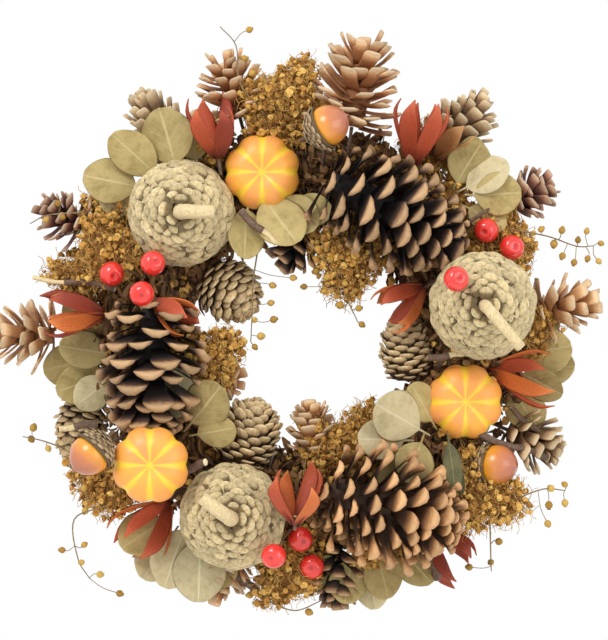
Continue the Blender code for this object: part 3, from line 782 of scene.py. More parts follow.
def scatter_tree():
    """Small pieces scattered over a surface, turned every way and set a little in or out."""
    tree, given = new_tree("scatter_over", [
        ("Piece", "NodeSocketObject", None), ("Material", "NodeSocketMaterial", None),
        ("Density", FLOAT, 100000.0), ("Seed", "NodeSocketInt", 0),
        ("Smallest", FLOAT, 0.8), ("Largest", FLOAT, 1.3),
        ("Inward", FLOAT, -0.004), ("Outward", FLOAT, 0.002),
    ])
    spread = add(tree, "GeometryNodeDistributePointsOnFaces", {
        "Mesh": given["Geometry"], "Density": given["Density"], "Seed": given["Seed"]})
    lift = random_value(tree, given["Inward"], given["Outward"], given["Seed"])
    shift = add(tree, "ShaderNodeVectorMath", {0: spread.outputs["Normal"], "Scale": lift}, operation="SCALE")
    moved = add(tree, "GeometryNodeSetPosition", {"Geometry": spread.outputs[0], "Offset": shift.outputs[0]})
    turn = add(tree, "FunctionNodeRandomValue", {
        0: (0.0, 0.0, 0.0), 1: (FULL_TURN,) * 3, "Seed": given["Seed"]}, data_type="FLOAT_VECTOR")
    size = random_value(tree, given["Smallest"], given["Largest"], math_node(tree, "ADD", given["Seed"], 5.0))
    shape = add(tree, "GeometryNodeObjectInfo", {"Object": given["Piece"]}).outputs["Geometry"]
    copies = add(tree, "GeometryNodeInstanceOnPoints", {
        "Points": moved.outputs[0], "Instance": shape, "Rotation": turn.outputs[0], "Scale": size})
    return close_tree(tree, copies.outputs[0], math_node(tree, "ADD", given["Seed"], 9.0), given["Material"])


TREES = {}


def build_trees():
    """Makes both trees once."""
    TREES["scale_spiral"] = scale_spiral_tree()
    TREES["scatter_over"] = scatter_tree()


def grow(tree_name, base, **inputs):
    """Runs a tree on a mesh, or on nothing, and returns the plain mesh that it makes."""
    tree = TREES[tree_name]
    host = bpy.data.objects.new("host", base or bpy.data.meshes.new("host"))
    bpy.context.scene.collection.objects.link(host)
    modifier = host.modifiers.new("grow", "NODES")
    modifier.node_group = tree
    identifiers = {item.name: item.identifier for item in tree.interface.items_tree if item.in_out == "INPUT"}
    for key, value in inputs.items():
        modifier[identifiers[key.replace("_", " ")]] = value
    graph = bpy.context.evaluated_depsgraph_get()
    made = bpy.data.meshes.new_from_object(host.evaluated_get(graph))
    spent = host.data
    bpy.data.objects.remove(host)
    bpy.data.meshes.remove(spent)
    return made


def stamp(mesh):
    """A helper object for a tree to repeat; forget() removes it."""
    made = bpy.data.objects.new("stamp", mesh)
    bpy.context.scene.collection.objects.link(made)
    return made


def forget(made):
    """Removes a stamp and its mesh."""
    spent = made.data
    bpy.data.objects.remove(made)
    bpy.data.meshes.remove(spent)


def open_scale():
    """Open pine scale, one unit long and wide: thin blade, then a thick lip, domed above and flat beneath."""
    return stamp(strap("open_scale", [
        (0.00, 0.14, 0.06, 0.00, 0.0), (0.45, 0.32, 0.07, 0.00, 0.0), (0.74, 0.47, 0.13, 0.02, 0.0),
        (0.88, 0.49, 0.38, 0.03, -0.06), (0.96, 0.40, 0.44, 0.05, -0.12), (1.00, 0.22, 0.22, 0.10, -0.06),
    ], FINISHES["cone_dark"], 10, above=0.88))


def long_scale():
    """Slender open scale: a flat woody strap, widest near its blunt and slightly lifted end."""
    return stamp(strap("long_scale", [
        (0.00, 0.44, 0.14, 0.00, 0.0), (0.30, 0.44, 0.14, -0.03, 0.0), (0.62, 0.46, 0.15, -0.03, 0.05),
        (0.86, 0.50, 0.19, 0.04, 0.09), (0.97, 0.45, 0.20, 0.10, 0.06), (1.00, 0.36, 0.12, 0.12, 0.03),
    ], FINISHES["cone_dark"], 8))


def shield():
    """Closed scale: a flat shingle with a low ridged boss on its outer face, and an uneven lip."""
    return stamp(strap("shield", [
        (0.00, 0.34, 0.10, 0.00, 0.0), (0.35, 0.48, 0.16, -0.03, 0.06), (0.60, 0.54, 0.24, -0.07, 0.11),
        (0.76, 0.50, 0.36, -0.10, 0.14), (0.88, 0.38, 0.26, -0.15, 0.12), (1.00, 0.12, 0.12, -0.19, 0.02),
    ], FINISHES["shield_beige"], 10, above=0.30))


def shingle():
    """Scale of a round cone: thin and broad, with a rounded end that lies close on the next."""
    return stamp(strap("shingle", [
        (0.00, 0.40, 0.14, 0.00, 0.0), (0.45, 0.54, 0.18, 0.03, 0.0), (0.75, 0.52, 0.30, 0.03, 0.02),
        (0.91, 0.36, 0.30, 0.00, 0.02), (1.00, 0.12, 0.14, -0.04, 0.0),
    ], FINISHES["shield_beige"], 8, above=0.5))


def core(length, radius, outline, material, sides=20, rows=10):
    """The cone's heart inside its scales, in its finish's first colour: painted shade deep in the cone."""
    start, span, power = outline
    profile = []
    for row in range(rows + 1):
        share = 0.02 + 0.96 * row / rows
        swell = max(math.sin(math.pi * (start + span * share)), 0.02) ** power
        # Every ring carries the value 0, which takes the finish's first colour: painted shade
        profile.append((radius * swell, (share - 0.5) * length, 0.0))
    return turned("core", profile, sides, material)


# Where on a sine arch a cone's outline starts, how much of it it spans, and the power it is raised to
OPEN_OUTLINE = (0.18, 0.76, 0.7)
SMALL_OUTLINE = (0.34, 0.60, 0.7)
CLOSED_OUTLINE = (0.12, 0.84, 0.6)
BALL_OUTLINE = (0.0, 1.0, 0.5)


class Look(NamedTuple):
    """How an open cone is dressed.

    Its finish, its scales against the usual number, their lean at the stem and the tip, how far they reach,
    how unruly they are, how much of their size the last ones keep, and their breadth against the usual.
    """

    finish: str
    scales: float
    lean: tuple
    reach: float
    jitter: float
    evenness: float = 0.55
    breadth: float = 1.0


def scales_round(scale, material, outline, lean, **inputs):
    """Scales set round an axis, with their lean at the stem and at the tip in degrees."""
    start, span, power = outline
    lean_base, lean_tip = (math.radians(degrees) for degrees in lean)
    return grow("scale_spiral", None, Scale=scale, Material=material, Outline_Start=start, Outline_Span=span,
                Outline_Power=power, Lean_Base=lean_base, Lean_Tip=lean_tip, **inputs)


def cone_at(stand, scale, look, usual_count, width, thickness, seed, outline):
    """Open cone's meshes: scales held out round a heart coloured with painted shade, standing as told."""
    length = (stand.high - stand.low).length
    material = FINISHES[look.finish]
    count = int(usual_count * look.scales)
    scales = scales_round(scale, material, outline, look.lean, Count=count, Seed=seed, Length=length * 0.84,
                          Radius=stand.radius, Core=0.16, Reach=look.reach, Width=width,
                          Thickness=thickness, Jitter=look.jitter, Evenness=look.evenness)
    # The heart is coloured with painted shade deep among the scales
    shaded_heart = core(length * 0.82, stand.radius * 0.26, outline, material)
    where = frame_at((stand.low + stand.high) / 2, aim(stand.axis))
    return [place(scales, where), place(shaded_heart, where)]


def open_cone(name, node, *how):
    """Open cone in the place of a CAD cone, on its pick if it has one."""
    stand = stance(node)
    dress(name, cone_at(stand, *how) + pick_of(node, stand), node)


def closed_cone(name, node, scale, finish_name, count, width, seed):
    """Closed cone in the place of a CAD cone, its shields lying close like tiles."""
    stand = stance(node)
    length = (stand.high - stand.low).length
    material = FINISHES[finish_name]
    scales = scales_round(scale, material, CLOSED_OUTLINE, (18, 118), Count=count, Seed=seed,
                          Length=length * 0.92, Radius=stand.radius, Core=0.80, Reach=0.60, Width=width,
                          Thickness=width * 0.62, Jitter=0.12, Evenness=0.5)
    # The heart is coloured with painted shade under the shields
    shaded_heart = core(length * 0.92, stand.radius * 0.84, CLOSED_OUTLINE, material)
    where = frame_at((stand.low + stand.high) / 2, aim(stand.axis))
    parts = [place(scales, where), place(shaded_heart, where)]
    dress(name, parts + pick_of(node, stand), node)


PICK_RADIUS = 1.1 * MM
SHORTEST_PICK = 2 * MM
# How far a pick goes into its piece
PICK_HOLD = 4 * MM


def pick_of(node, stand):
    """The wire or twig pick below a cone or flower, as long as the CAD one: one mesh, or none."""
    points = node_points(node)
    along = (points - np.array(stand.low)) @ np.array(stand.axis)
    length = -float(along.min())
    if length < SHORTEST_PICK:
        return []
    foot = stand.low - stand.axis * length
    path = smooth_path([foot, stand.low - stand.axis * length * 0.4, stand.low + stand.axis * PICK_HOLD], 3)
    return [tube("pick", path, [PICK_RADIUS] * len(path), 8, FINISHES["bark"], cut_ends=True, rough=0.1)]


ROUND_CONE_DEPTH = 52 * MM
# Keeps clear of the face when the ball's corners are told from the stem's
FACE_MARGIN = 4 * MM
# A stem shorter than this is a thick stub
SHORT_STEM = 26 * MM


def round_cone(name, node, scale, count, width, seed):
    """Nearly round closed cone seen from its base, with a peeled stem that bends over its face."""
    points = node_points(node)
    back = points[:, 1].max()
    body = points[points[:, 1] > back - ROUND_CONE_DEPTH + FACE_MARGIN]
    stem = points[points[:, 1] < back - ROUND_CONE_DEPTH - FACE_MARGIN]
    low, high = body.min(0), body.max(0)
    radius = (high[0] - low[0] + high[2] - low[2]) / 4
    centre = Vector(((low[0] + high[0]) / 2, back - ROUND_CONE_DEPTH / 2, (low[2] + high[2]) / 2))
    far = stem[np.argmax(np.hypot(stem[:, 0] - centre.x, stem[:, 2] - centre.z))]
    tip = Vector((far[0], 0, far[2])) - Vector((centre.x, 0, centre.z))
    material = FINISHES["shield_beige"]
    scales = scales_round(scale, material, BALL_OUTLINE, (-4, 165), Count=count, Seed=seed,
                          Length=ROUND_CONE_DEPTH * 0.96, Radius=radius, Core=0.90, Reach=0.33, Width=width,
                          Thickness=width * 0.26, Jitter=0.08, Evenness=0.7)
    # The heart is coloured with painted shade under the shingles
    shaded_heart = core(ROUND_CONE_DEPTH * 0.88, radius * 0.84, BALL_OUTLINE, material, 32, 16)
    where = frame_at(centre, aim(BACK))
    # The stem rises out of the face, then lies along it to its tip
    face = centre + FRONT * ROUND_CONE_DEPTH / 2
    run = tip.normalized()
    rises = ((-4 * MM, 0), (4 * MM, 2 * MM), (8 * MM, 8 * MM), (9 * MM, tip.length * 0.6),
             (9 * MM, tip.length))
    path = smooth_path([face + FRONT * rise + run * along for rise, along in rises], 4)
    slim = 4.2 * MM if tip.length < SHORT_STEM else 3.4 * MM
    radii = [slim * (1.12 - 0.2 * index / len(path)) for index in range(len(path))]
    stalk = tube("stem", path, radii, 16, FINISHES["stem_pale"], cut_ends=True, rough=0.05, seed=seed)
    dress(name, [place(scales, where), place(shaded_heart, where), stalk], node)


# Depths as shares of the radius or the height, and widths as shares of a lobe or of the radius
GROOVE_DEPTH, GROOVE_WIDTH = 0.085, 0.40
DIMPLE_DEPTH, DIMPLE_WIDTH = 0.30, 0.34
CROWN_WIDTH = 0.13
# Keeps a round body's first and last rings a pinhole wide, for the caps to close
PINHOLE = 0.004


def pumpkin(name, node, sides=128, rows=44, lobes=8):
    """Squat foam pumpkin that faces front: round lobes, soft painted grooves, a dimple without a stem."""
    low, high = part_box(node)
    centre = (low + high) / 2
    radius = (high.x - low.x + high.z - low.z) / 4
    depth = (high.y - low.y) / 2
    shape = Shape()
    rings = []
    values = []
    for row in range(rows + 1):
        angle = math.pi * (PINHOLE + (1 - 2 * PINHOLE) * row / rows)
        wide = math.sin(angle) ** 0.86
        height = -math.cos(angle) * depth * (1 - DIMPLE_DEPTH * bell(math.sin(angle), DIMPLE_WIDTH))
        ring = []
        labels = []
        for side in range(sides):
            around = 2 * math.pi * side / sides
            away = 1 - abs((around * lobes / (2 * math.pi)) % 1.0 - 0.5) * 2
            groove = bell(away, GROOVE_WIDTH)
            reach = radius * wide * (1 - GROOVE_DEPTH * groove * min(1.0, wide * 1.4))
            ring.append(Vector((reach * math.cos(around), reach * math.sin(around), height)))
            labels.append({"groove": max(groove, bell(wide, CROWN_WIDTH))})
        rings.append(ring)
        values.append(labels)
    shape.rings(rings, values)
    mesh = place(shape.mesh(name, FINISHES["foam"]), frame_at(centre, aim(FRONT)))
    dress(name, [mesh], node)


BERRY_WIRE_RADIUS = 0.5 * MM
NAVEL_DEPTH, NAVEL_WIDTH = 0.20, 0.13


def berry(name, node, seed, wire_to, rows=24):
    """Lacquered ball with a dimple and a dark navel, on a thin wire that runs back to the ring."""
    draw = random.Random(seed)
    low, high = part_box(node)
    centre = (low + high) / 2
    radius = (high.x - low.x) / 2
    profile = []
    for row in range(rows + 1):
        share = PINHOLE + (1 - 2 * PINHOLE) * row / rows
        angle = math.pi * share
        sunk = 1 - NAVEL_DEPTH * bell(1 - share, NAVEL_WIDTH)
        profile.append((radius * math.sin(angle), -radius * math.cos(angle) * sunk, share))
    look = (FRONT + UP * draw.uniform(-0.35, 0.35) + Vector((draw.uniform(-0.35, 0.35), 0, 0))).normalized()
    ball = place(turned("ball", profile, 32, FINISHES["lacquer"]), frame_at(centre, aim(look)))
    path = smooth_path([centre + BACK * radius * 0.9, centre.lerp(wire_to, 0.5) + UP * 3 * MM, wire_to], 5)
    wire = tube("wire", path, [BERRY_WIRE_RADIUS] * len(path), 6, FINISHES["bark"])
    dress(name, [ball, wire], node)


ACORN_PICK_RADIUS = 1.2 * MM
# From here on, as a share of its length, the nut narrows to its point
NUT_SHOULDER = 0.94
# The cup's floor lies this far behind the nut, and its wall this far outside it
CUP_FLOOR = 2.0 * MM
CUP_WALL = 2.2 * MM
# The cup's bowl starts a little off its axis
BOWL_ROWS = tuple(0.08 + 0.92 * row / 8 for row in range(9))
# How far a pick goes into the straw
STRAW_HOLD = 4 * MM


def ring_foot(point):
    """Where a pick from this point enters the face of the ring at its middle line."""
    toward = point - RING_CENTRE
    toward.y = 0
    foot = RING_CENTRE + toward.normalized() * RING_LINE
    foot.y = RING_FRONT_Y + STRAW_HOLD
    return foot


def acorn(number, scale):
    """Nut and cup as two pieces that share an axis, read from the CAD pair."""
    nut_node, cap_node = f"acorn_nut_{number}", f"acorn_cap_{number}"
    nut_low, nut_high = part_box(nut_node)
    middle = (nut_low + nut_high) / 2
    axis = (middle - Vector(node_points(cap_node).mean(0))).normalized()
    offset = node_points(nut_node) - np.array(middle)
    along = offset @ np.array(axis)
    low, high = float(along.min()), float(along.max())
    radius = float(np.linalg.norm(offset - np.outer(along, np.array(axis)), axis=1).max())
    rim = float(((node_points(cap_node) - np.array(middle)) @ np.array(axis)).max())
    where = frame_at(middle, aim(axis))

    profile = []
    for row in range(29):
        share = 0.003 + 0.994 * row / 28
        wide = math.sin(math.pi * share) ** 0.60
        if share > NUT_SHOULDER:
            wide *= 0.55
        profile.append((radius * wide, low + (high - low) * share, share))
    profile.append((0.5 * MM, high + 0.8 * MM, 1.0))
    nut = place(turned("nut", profile, 40, FINISHES["nut"]), where)
    # A thin pick holds the nut out from the middle of the ring
    foot = ring_foot(middle)
    root = middle + BACK * radius * 0.8
    path = smooth_path([root, root.lerp(foot, 0.5), foot], 4)
    pick = tube("pick", path, [ACORN_PICK_RADIUS] * len(path), 8, FINISHES["bark"])
    dress(f"acorn_{number}_nut", [nut, pick], nut_node)

    cup = [place(mesh, where) for mesh in acorn_cup(scale, radius, low - CUP_FLOOR, rim, 40 + number)]
    dress(f"acorn_{number}_cap", cup, cap_node)


def acorn_cup(scale, radius, base, rim, seed):
    """Cup's shell round a nut of this radius, with its stub, and the scales that cover it to the rim."""
    outer = radius + CUP_WALL
    inner_base = base + CUP_WALL
    profile = [(0.8 * MM, base - 5.0 * MM, 0.3), (1.3 * MM, base - 4.6 * MM, 0.3),
               (1.2 * MM, base + 0.2 * MM, 0.3)]
    for share in BOWL_ROWS:
        wide = math.sin(math.pi / 2 * share) ** 0.7
        profile.append((outer * wide * 0.93, base + (rim - base) * share, 0.2))
    for share in reversed(BOWL_ROWS):
        wide = math.sin(math.pi / 2 * share) ** 0.7
        profile.append(((outer - 1.8 * MM) * wide, inner_base + (rim - inner_base) * share, 0.1))
    # The shell's low values take the cap finish's first colour: painted shade under and between the tiles
    shell = turned("cup", profile, 32, FINISHES["cap"])
    tiles = scales_round(scale, FINISHES["cap"], (0.0, 1.0, 0.6), (10, 160), Count=230, Seed=seed,
                         Length=2 * (rim - base), Radius=outer, Core=0.93, Reach=0.30, Width=4.6 * MM,
                         Thickness=2.8 * MM, Jitter=0.16, Evenness=0.7)
    keep_below(tiles, 0.0)
    return shell, place(tiles, Matrix.Translation((0, 0, rim - 0.6 * MM)))


def keep_below(mesh, level):
    """Takes away each separate piece of a mesh that reaches above a level."""
    work = bmesh.new()
    work.from_mesh(mesh)
    frontier = [vert for vert in work.verts if vert.co.z > level]
    reached = set(frontier)
    while frontier:
        vert = frontier.pop()
        for other in (edge.other_vert(vert) for edge in vert.link_edges):
            if other not in reached:
                reached.add(other)
                frontier.append(other)
    bmesh.ops.delete(work, geom=list(reached), context="VERTS")
    work.to_mesh(mesh)
    work.free()


PETAL_THICKNESS = 1.6 * MM
# From here on, as a share of its length, a petal narrows to its tip
PETAL_TAPER = 0.66


def petal(length, width, spread, curl, material, tint):
    """Woody strap petal: narrow root, cupped blade, blunt point. Grows along +X and lifts along +Z."""
    sections = []
    for step in range(11):
        share = step / 10
        wide = width * (0.26 + 0.74 * math.sin(math.pi * (share * 0.84 + 0.08)) ** 0.9)
        wide *= 1 - 0.86 * max(0.0, (share - PETAL_TAPER) / (1 - PETAL_TAPER)) ** 1.8
        lift = spread * math.sin(share * math.pi * 0.5) ** 1.2 - curl * max(0.0, share - 0.75) ** 2
        thick = PETAL_THICKNESS * (1 - 0.5 * share)
        sections.append((share * length, wide / 2, thick, lift, 0.22 * wide))
    return strap("petal", sections, material, 10, tint)


def cup_of_petals(where, length, spread, petals, seed, hue):
    """A ring of strap petals that stand up round local Z and lean out."""
    draw = random.Random(seed)
    parts = []
    for index in range(petals):
        blade = petal(length * draw.uniform(0.84, 1.08), draw.uniform(10.0, 13.5) * MM,
                      draw.uniform(0.5, 1.1) * spread, 0.03, FINISHES[hue[index % len(hue)]], draw.random())
        # The blade grows along local X; stand it up, push it off the axis and turn it round
        stand_up = Matrix.Rotation(-math.pi / 2, 4, "Y")
        off_axis = Matrix.Translation((-1.6 * MM, 0, 0))
        round_axis = Matrix.Rotation(2 * math.pi * (index + draw.uniform(-0.16, 0.16)) / petals, 4, "Z")
        parts.append(place(blade, where @ round_axis @ off_axis @ stand_up))
    return parts


def flower(name, node, petals, seed, hue):
    """A cup of strap petals that stands on the CAD flower's axis and pick."""
    stand = stance(node)
    where = frame_at(stand.low, aim(stand.axis))
    parts = cup_of_petals(where, (stand.high - stand.low).length, stand.radius, petals, seed, hue)
    dress(name, parts + pick_of(node, stand), node)


LEAF_THICKNESS = 0.6 * MM
LEAF_STALK = ((-0.30, 0.6 * MM, 0.9 * MM), (-0.06, 0.7 * MM, 0.9 * MM))


def leaf(size, width, material, tint, cup, bend):
    """Round dried leaf along +X with a short stalk."""
    sections = [(share * size, wide, thick, 0.0, 0.0) for share, wide, thick in LEAF_STALK]
    for step in range(19):
        share = (1 - math.cos(math.pi * step / 18)) / 2
        wide = width * max(math.sin(math.pi * (0.04 + 0.945 * share)), 0.02) ** 0.56
        lift = bend * size * share * share
        sections.append((share * size, wide / 2, LEAF_THICKNESS, lift, cup * wide * 0.5))
    return strap("leaf", sections, material, 14, tint)


class Leaf(NamedTuple):
    """A leaf's root, in clock degrees, millimetres out and deep, with the heading, lean, size and finish."""

    clock: float
    out: float
    depth: float
    heading: float
    lean: float
    size: float
    kind: str = "leaf_olive"


# Chosen group by group round the ring
LEAVES = {
    "leaf_spray_1": (
        Leaf(318, 39, 44, 314, 6, 33), Leaf(324, 35, 48, 346, 4, 33), Leaf(312, 41, 38, 282, 10, 31),
        Leaf(329, 30, 38, 354, 14, 22), Leaf(309, 34, 34, 275, 14, 22, "leaf_pale"),
    ),
    "leaf_spray_2": (
        Leaf(44, 36, 42, 30, 12, 27), Leaf(47, 38, 44, 62, 12, 28, "leaf_pale"), Leaf(45, 44, 38, 5, 10, 23),
        Leaf(50, 38, 46, 88, 10, 27), Leaf(52, 30, 40, 118, 14, 24),
    ),
    "leaf_spray_3": (
        Leaf(94, 36, 24, 78, 12, 30), Leaf(99, 38, 28, 118, 12, 26), Leaf(104, 34, 20, 150, 10, 27),
        Leaf(96, 44, 18, 96, 6, 24), Leaf(90, 38, 20, 40, 10, 26, "leaf_pale"),
    ),
    "leaf_spray_4": (
        Leaf(212, 40, 32, 200, 14, 36, "leaf_pale"), Leaf(218, 42, 26, 235, 10, 30),
        Leaf(207, 40, 36, 182, 12, 36, "leaf_pale"), Leaf(214, 48, 18, 214, 6, 30, "leaf_pale"),
        Leaf(203, 40, 30, 160, 14, 25),
    ),
}

# Groups that have no CAD solid
LOOSE_LEAVES = {
    "leaf_group_5": (
        Leaf(345, -12, 52, 146, 14, 33), Leaf(350, -14, 48, 126, 10, 28), Leaf(336, -14, 50, 186, 14, 30),
        Leaf(356, -18, 46, 98, 12, 24),
    ),
    "leaf_group_6": (
        Leaf(266, 22, 34, 280, 16, 30), Leaf(260, 26, 30, 250, 12, 30), Leaf(272, 26, 26, 310, 10, 28),
        Leaf(264, 36, 20, 262, 6, 26), Leaf(258, 24, 34, 232, 12, 24, "leaf_pale"),
    ),
    "leaf_group_7": (
        Leaf(234, -16, 62, 40, 26, 32), Leaf(240, -8, 56, 12, 20, 30, "leaf_pale"),
        Leaf(228, -14, 60, 80, 24, 24), Leaf(246, -10, 50, 350, 20, 24),
    ),
    "leaf_group_8": (
        Leaf(128, -12, 50, 300, 24, 34, "leaf_pale"), Leaf(136, -14, 48, 272, 20, 28, "leaf_pale"),
        Leaf(122, -8, 46, 330, 18, 26), Leaf(132, -4, 56, 200, 24, 26), Leaf(142, -6, 50, 185, 20, 26),
    ),
    "leaf_group_9": (
        Leaf(161, 38, 36, 165, 16, 30), Leaf(168, 40, 32, 190, 12, 26), Leaf(155, 42, 30, 140, 10, 28),
        Leaf(164, 46, 22, 172, 6, 26, "leaf_pale"), Leaf(172, 36, 30, 215, 14, 22),
    ),
    "leaf_group_10": (
        Leaf(126, 10, 54, 172, 16, 30, "leaf_green"), Leaf(129, 14, 48, 160, 10, 24, "leaf_green"),
    ),
}


def leaf_group(name, leaves, node=None):
    """One fan of leaves; each blade faces front and leans its own way."""
    draw = random.Random(sum(ord(letter) for letter in name))
    parts = []
    for item in leaves:
        along = heading(item.heading, item.lean)
        facing = (FRONT + clock_direction(draw.uniform(0, 360)) * 0.35).normalized()
        turn = aim(along, facing)
        # The blade grows along local X: stand it on the heading, with its upper side to the front
        stand_up = Matrix.Rotation(-math.pi / 2, 4, "Y") @ Matrix.Rotation(math.pi / 2, 4, "X")
        size = item.size * MM
        breadth = 0.42 if item.kind == "leaf_green" else draw.uniform(0.80, 1.04)
        blade = leaf(size, size * breadth, FINISHES[item.kind], draw.random(),
                     draw.uniform(-0.10, 0.16), draw.uniform(-0.06, 0.16))
        parts.append(place(blade, frame_at(spot(item.clock, item.out, item.depth), turn) @ stand_up))
    dress(name, parts, node)


def floret():
    """Tiny dried floret: a crumpled open bell about 4 mm across, its rim torn and uneven."""
    draw = random.Random(31)
    sides = 9
    shape = Shape()
    rings = []
    for radius, height in ((0.5, -1.4), (1.4, -0.7), (2.1, 0.5), (1.6, 1.2), (0.6, 0.1)):
        ring = []
        for side in range(sides):
            angle = 2 * math.pi * side / sides
            reach = radius * draw.uniform(0.62, 1.3) * MM
            ring.append(Vector((reach * math.cos(angle), reach * math.sin(angle),
                                (height + draw.uniform(-0.3, 0.3)) * MM)))
        rings.append(ring)
    shape.rings(rings)
    return stamp(shape.mesh("floret", FINISHES["floret_gold"], smooth=False))


def thread():
    """Curled dry fibre about 14 mm long."""
    path = [Vector((t * 7 * MM, math.sin(2.6 * t) * 2.2 * MM, math.cos(3.4 * t) * 1.8 * MM))
            for t in (-1.0, -0.6, -0.2, 0.2, 0.6, 1.0)]
    return stamp(tube("thread", path, [0.24 * MM] * len(path), 3, FINISHES["floret_gold"]))


def scrap():
    """Curled sliver of dried leaf or bract, about 9 mm long."""
    sections = ((-4.5, 0.4, 0.4, 0.0, 0.0), (-1.5, 1.6, 0.5, 0.7, 0.6), (1.8, 1.4, 0.5, 0.2, 0.7),
                (4.5, 0.3, 0.4, -1.0, 0.0))
    sections = [[size * MM for size in section] for section in sections]
    return stamp(strap("scrap", sections, FINISHES["floret_brown"], 6))


def blob(centre, across, deep, seed, sides=20, rows=10):
    """Uneven ball: a clump's packed heart, and the form that its florets are scattered on."""
    shape = Shape()
    rings = []
    for row in range(rows + 1):
        angle = math.pi * (0.03 + 0.94 * row / rows)
        ring = []
        for side in range(sides):
            around = 2 * math.pi * side / sides
            lumps = 0.24 * math.sin(3 * around + seed) * math.sin(angle) + 0.12 * math.cos(4 * angle + seed)
            reach = across * (1 + lumps) * math.sin(angle)
            height = -deep * (1 + lumps) * math.cos(angle)
            ring.append(centre + Vector((reach * math.cos(around), height, reach * math.sin(around))))
        rings.append(ring)
    shape.rings(rings)
    return shape.mesh("blob", FINISHES["floret_gold"])


class Clump(NamedTuple):
    """A clump's middle in clock degrees, millimetres out and deep, its half widths and how many florets."""

    clock: float
    out: float
    depth: float
    across: float
    deep: float
    florets: int


# Half widths in millimetres and florets, by the number of the CAD clump
CLUMP_SHAPES = {1: (21, 8, 400), 2: (20, 10, 330), 3: (20, 10, 330), 4: (20, 10, 330), 5: (20, 10, 300)}

# Clumps that have no CAD solid
LOOSE_CLUMPS = {
    "florets_behind_leaves": Clump(320, 24, 28, 14, 8, 150),
    "florets_under_leaves": Clump(46, 25, 30, 14, 8, 150),
    "florets_inner_left": Clump(258, -41, 46, 16, 10, 300),
    "florets_inner_top": Clump(29, -42, 46, 20, 10, 360),
    "florets_lower_left": Clump(232, 44, 32, 17, 9, 220),
    "florets_lower_right": Clump(131, 44, 38, 24, 10, 400),
    "florets_top_right": Clump(66, 30, 36, 18, 9, 220),
    "florets_top": Clump(358, 54, 46, 15, 7, 210),
    "florets_top_left": Clump(334, 36, 30, 13, 8, 130),
    "florets_right": Clump(88, 40, 28, 14, 9, 150),
    "florets_inner_bottom": Clump(168, -34, 36, 14, 8, 150),
    "florets_bottom": Clump(185, 44, 36, 18, 9, 260),
    "florets_bottom_right": Clump(160, 34, 34, 15, 9, 170),
    "florets_upper_right": Clump(33, 40, 26, 16, 9, 180),
    "florets_left_edge": Clump(286, 44, 26, 16, 9, 200),
    "florets_left_top": Clump(303, 40, 30, 15, 9, 170),
    "florets_below_acorn": Clump(237, 54, 30, 13, 8, 150),
}


def clump(name, centre, across, deep, count, pieces, seed, node=None):
    """A clump of dried florets on an uneven ball, with fibres curling out of it."""
    area = 4 * math.pi * (across * MM) ** 1.5 * (deep * MM) ** 0.5

    def ball(share=1.0):
        return blob(centre, across * share * MM, deep * share * MM, seed)

    small, fibre = pieces
    florets = grow("scatter_over", ball(), Piece=small, Material=FINISHES["floret_gold"],
                   Density=count * 1.25 / area, Seed=seed, Smallest=0.42, Largest=1.2, Inward=-4 * MM,
                   Outward=3.5 * MM)
    fibres = grow("scatter_over", ball(), Piece=fibre, Material=FINISHES["fibre"],
                  Density=count * 1.5 / area, Seed=seed + 40, Smallest=0.4, Largest=1.0, Inward=-4 * MM,
                  Outward=4 * MM)
    dress(name, [florets, fibres, ball(0.74)], node)


class Twig(NamedTuple):
    """A twig from one place to another, each in clock degrees, millimetres out and deep, and its thickness.

    A peeled one has lost the bark of its far end.
    """

    start: tuple
    end: tuple
    thick: float
    peeled: bool = False


TWIGS = (
    Twig((334, -12, 60), (344, -38, 62), 4.6, True),
    Twig((285, 20, 46), (283, 70, 40), 3.4, True),
    Twig((248, 36, 54), (250, 58, 56), 4.4, True),
    Twig((222, 6, 70), (219, -5, 80), 5.0),
    Twig((98, -22, 50), (95, -2, 58), 4.2, True),
    Twig((118, 20, 46), (116, 66, 40), 4.0),
    Twig((108, 34, 34), (113, 66, 30), 3.4),
    Twig((198, 48, 34), (190, 58, 36), 5.0),
    Twig((148, 44, 40), (151, 68, 34), 6.0),
    Twig((52, 10, 50), (56, 50, 44), 2.4),
)


def twig(number, item):
    """A slightly bent twig that tapers to its far end."""
    start, end = spot(*item.start), spot(*item.end)
    sway = (end - start).cross(FRONT).normalized() * (end - start).length * 0.035
    path = smooth_path([start, start.lerp(end, 0.35) + sway, start.lerp(end, 0.7) - sway * 0.5, end], 4)
    radii = [item.thick / 2 * MM * (1.08 - 0.16 * index / len(path)) for index in range(len(path))]
    last = len(path) * 2 // 3 if item.peeled else len(path)
    parts = [tube("twig", path[:last], radii[:last], 10, FINISHES["bark"], True, 0.12, number)]
    if item.peeled:
        bare = [radius * 0.82 for radius in radii[last - 2:]]
        parts.append(tube("bare_end", path[last - 2:], bare, 10, FINISHES["stem_pale"], True, 0.06, number))
    dress(f"twig_{number}", parts, None)


class Sprig(NamedTuple):
    """A hair-thin stem through places in clock degrees, millimetres out and deep, and its pods."""

    stem: tuple
    pods: tuple


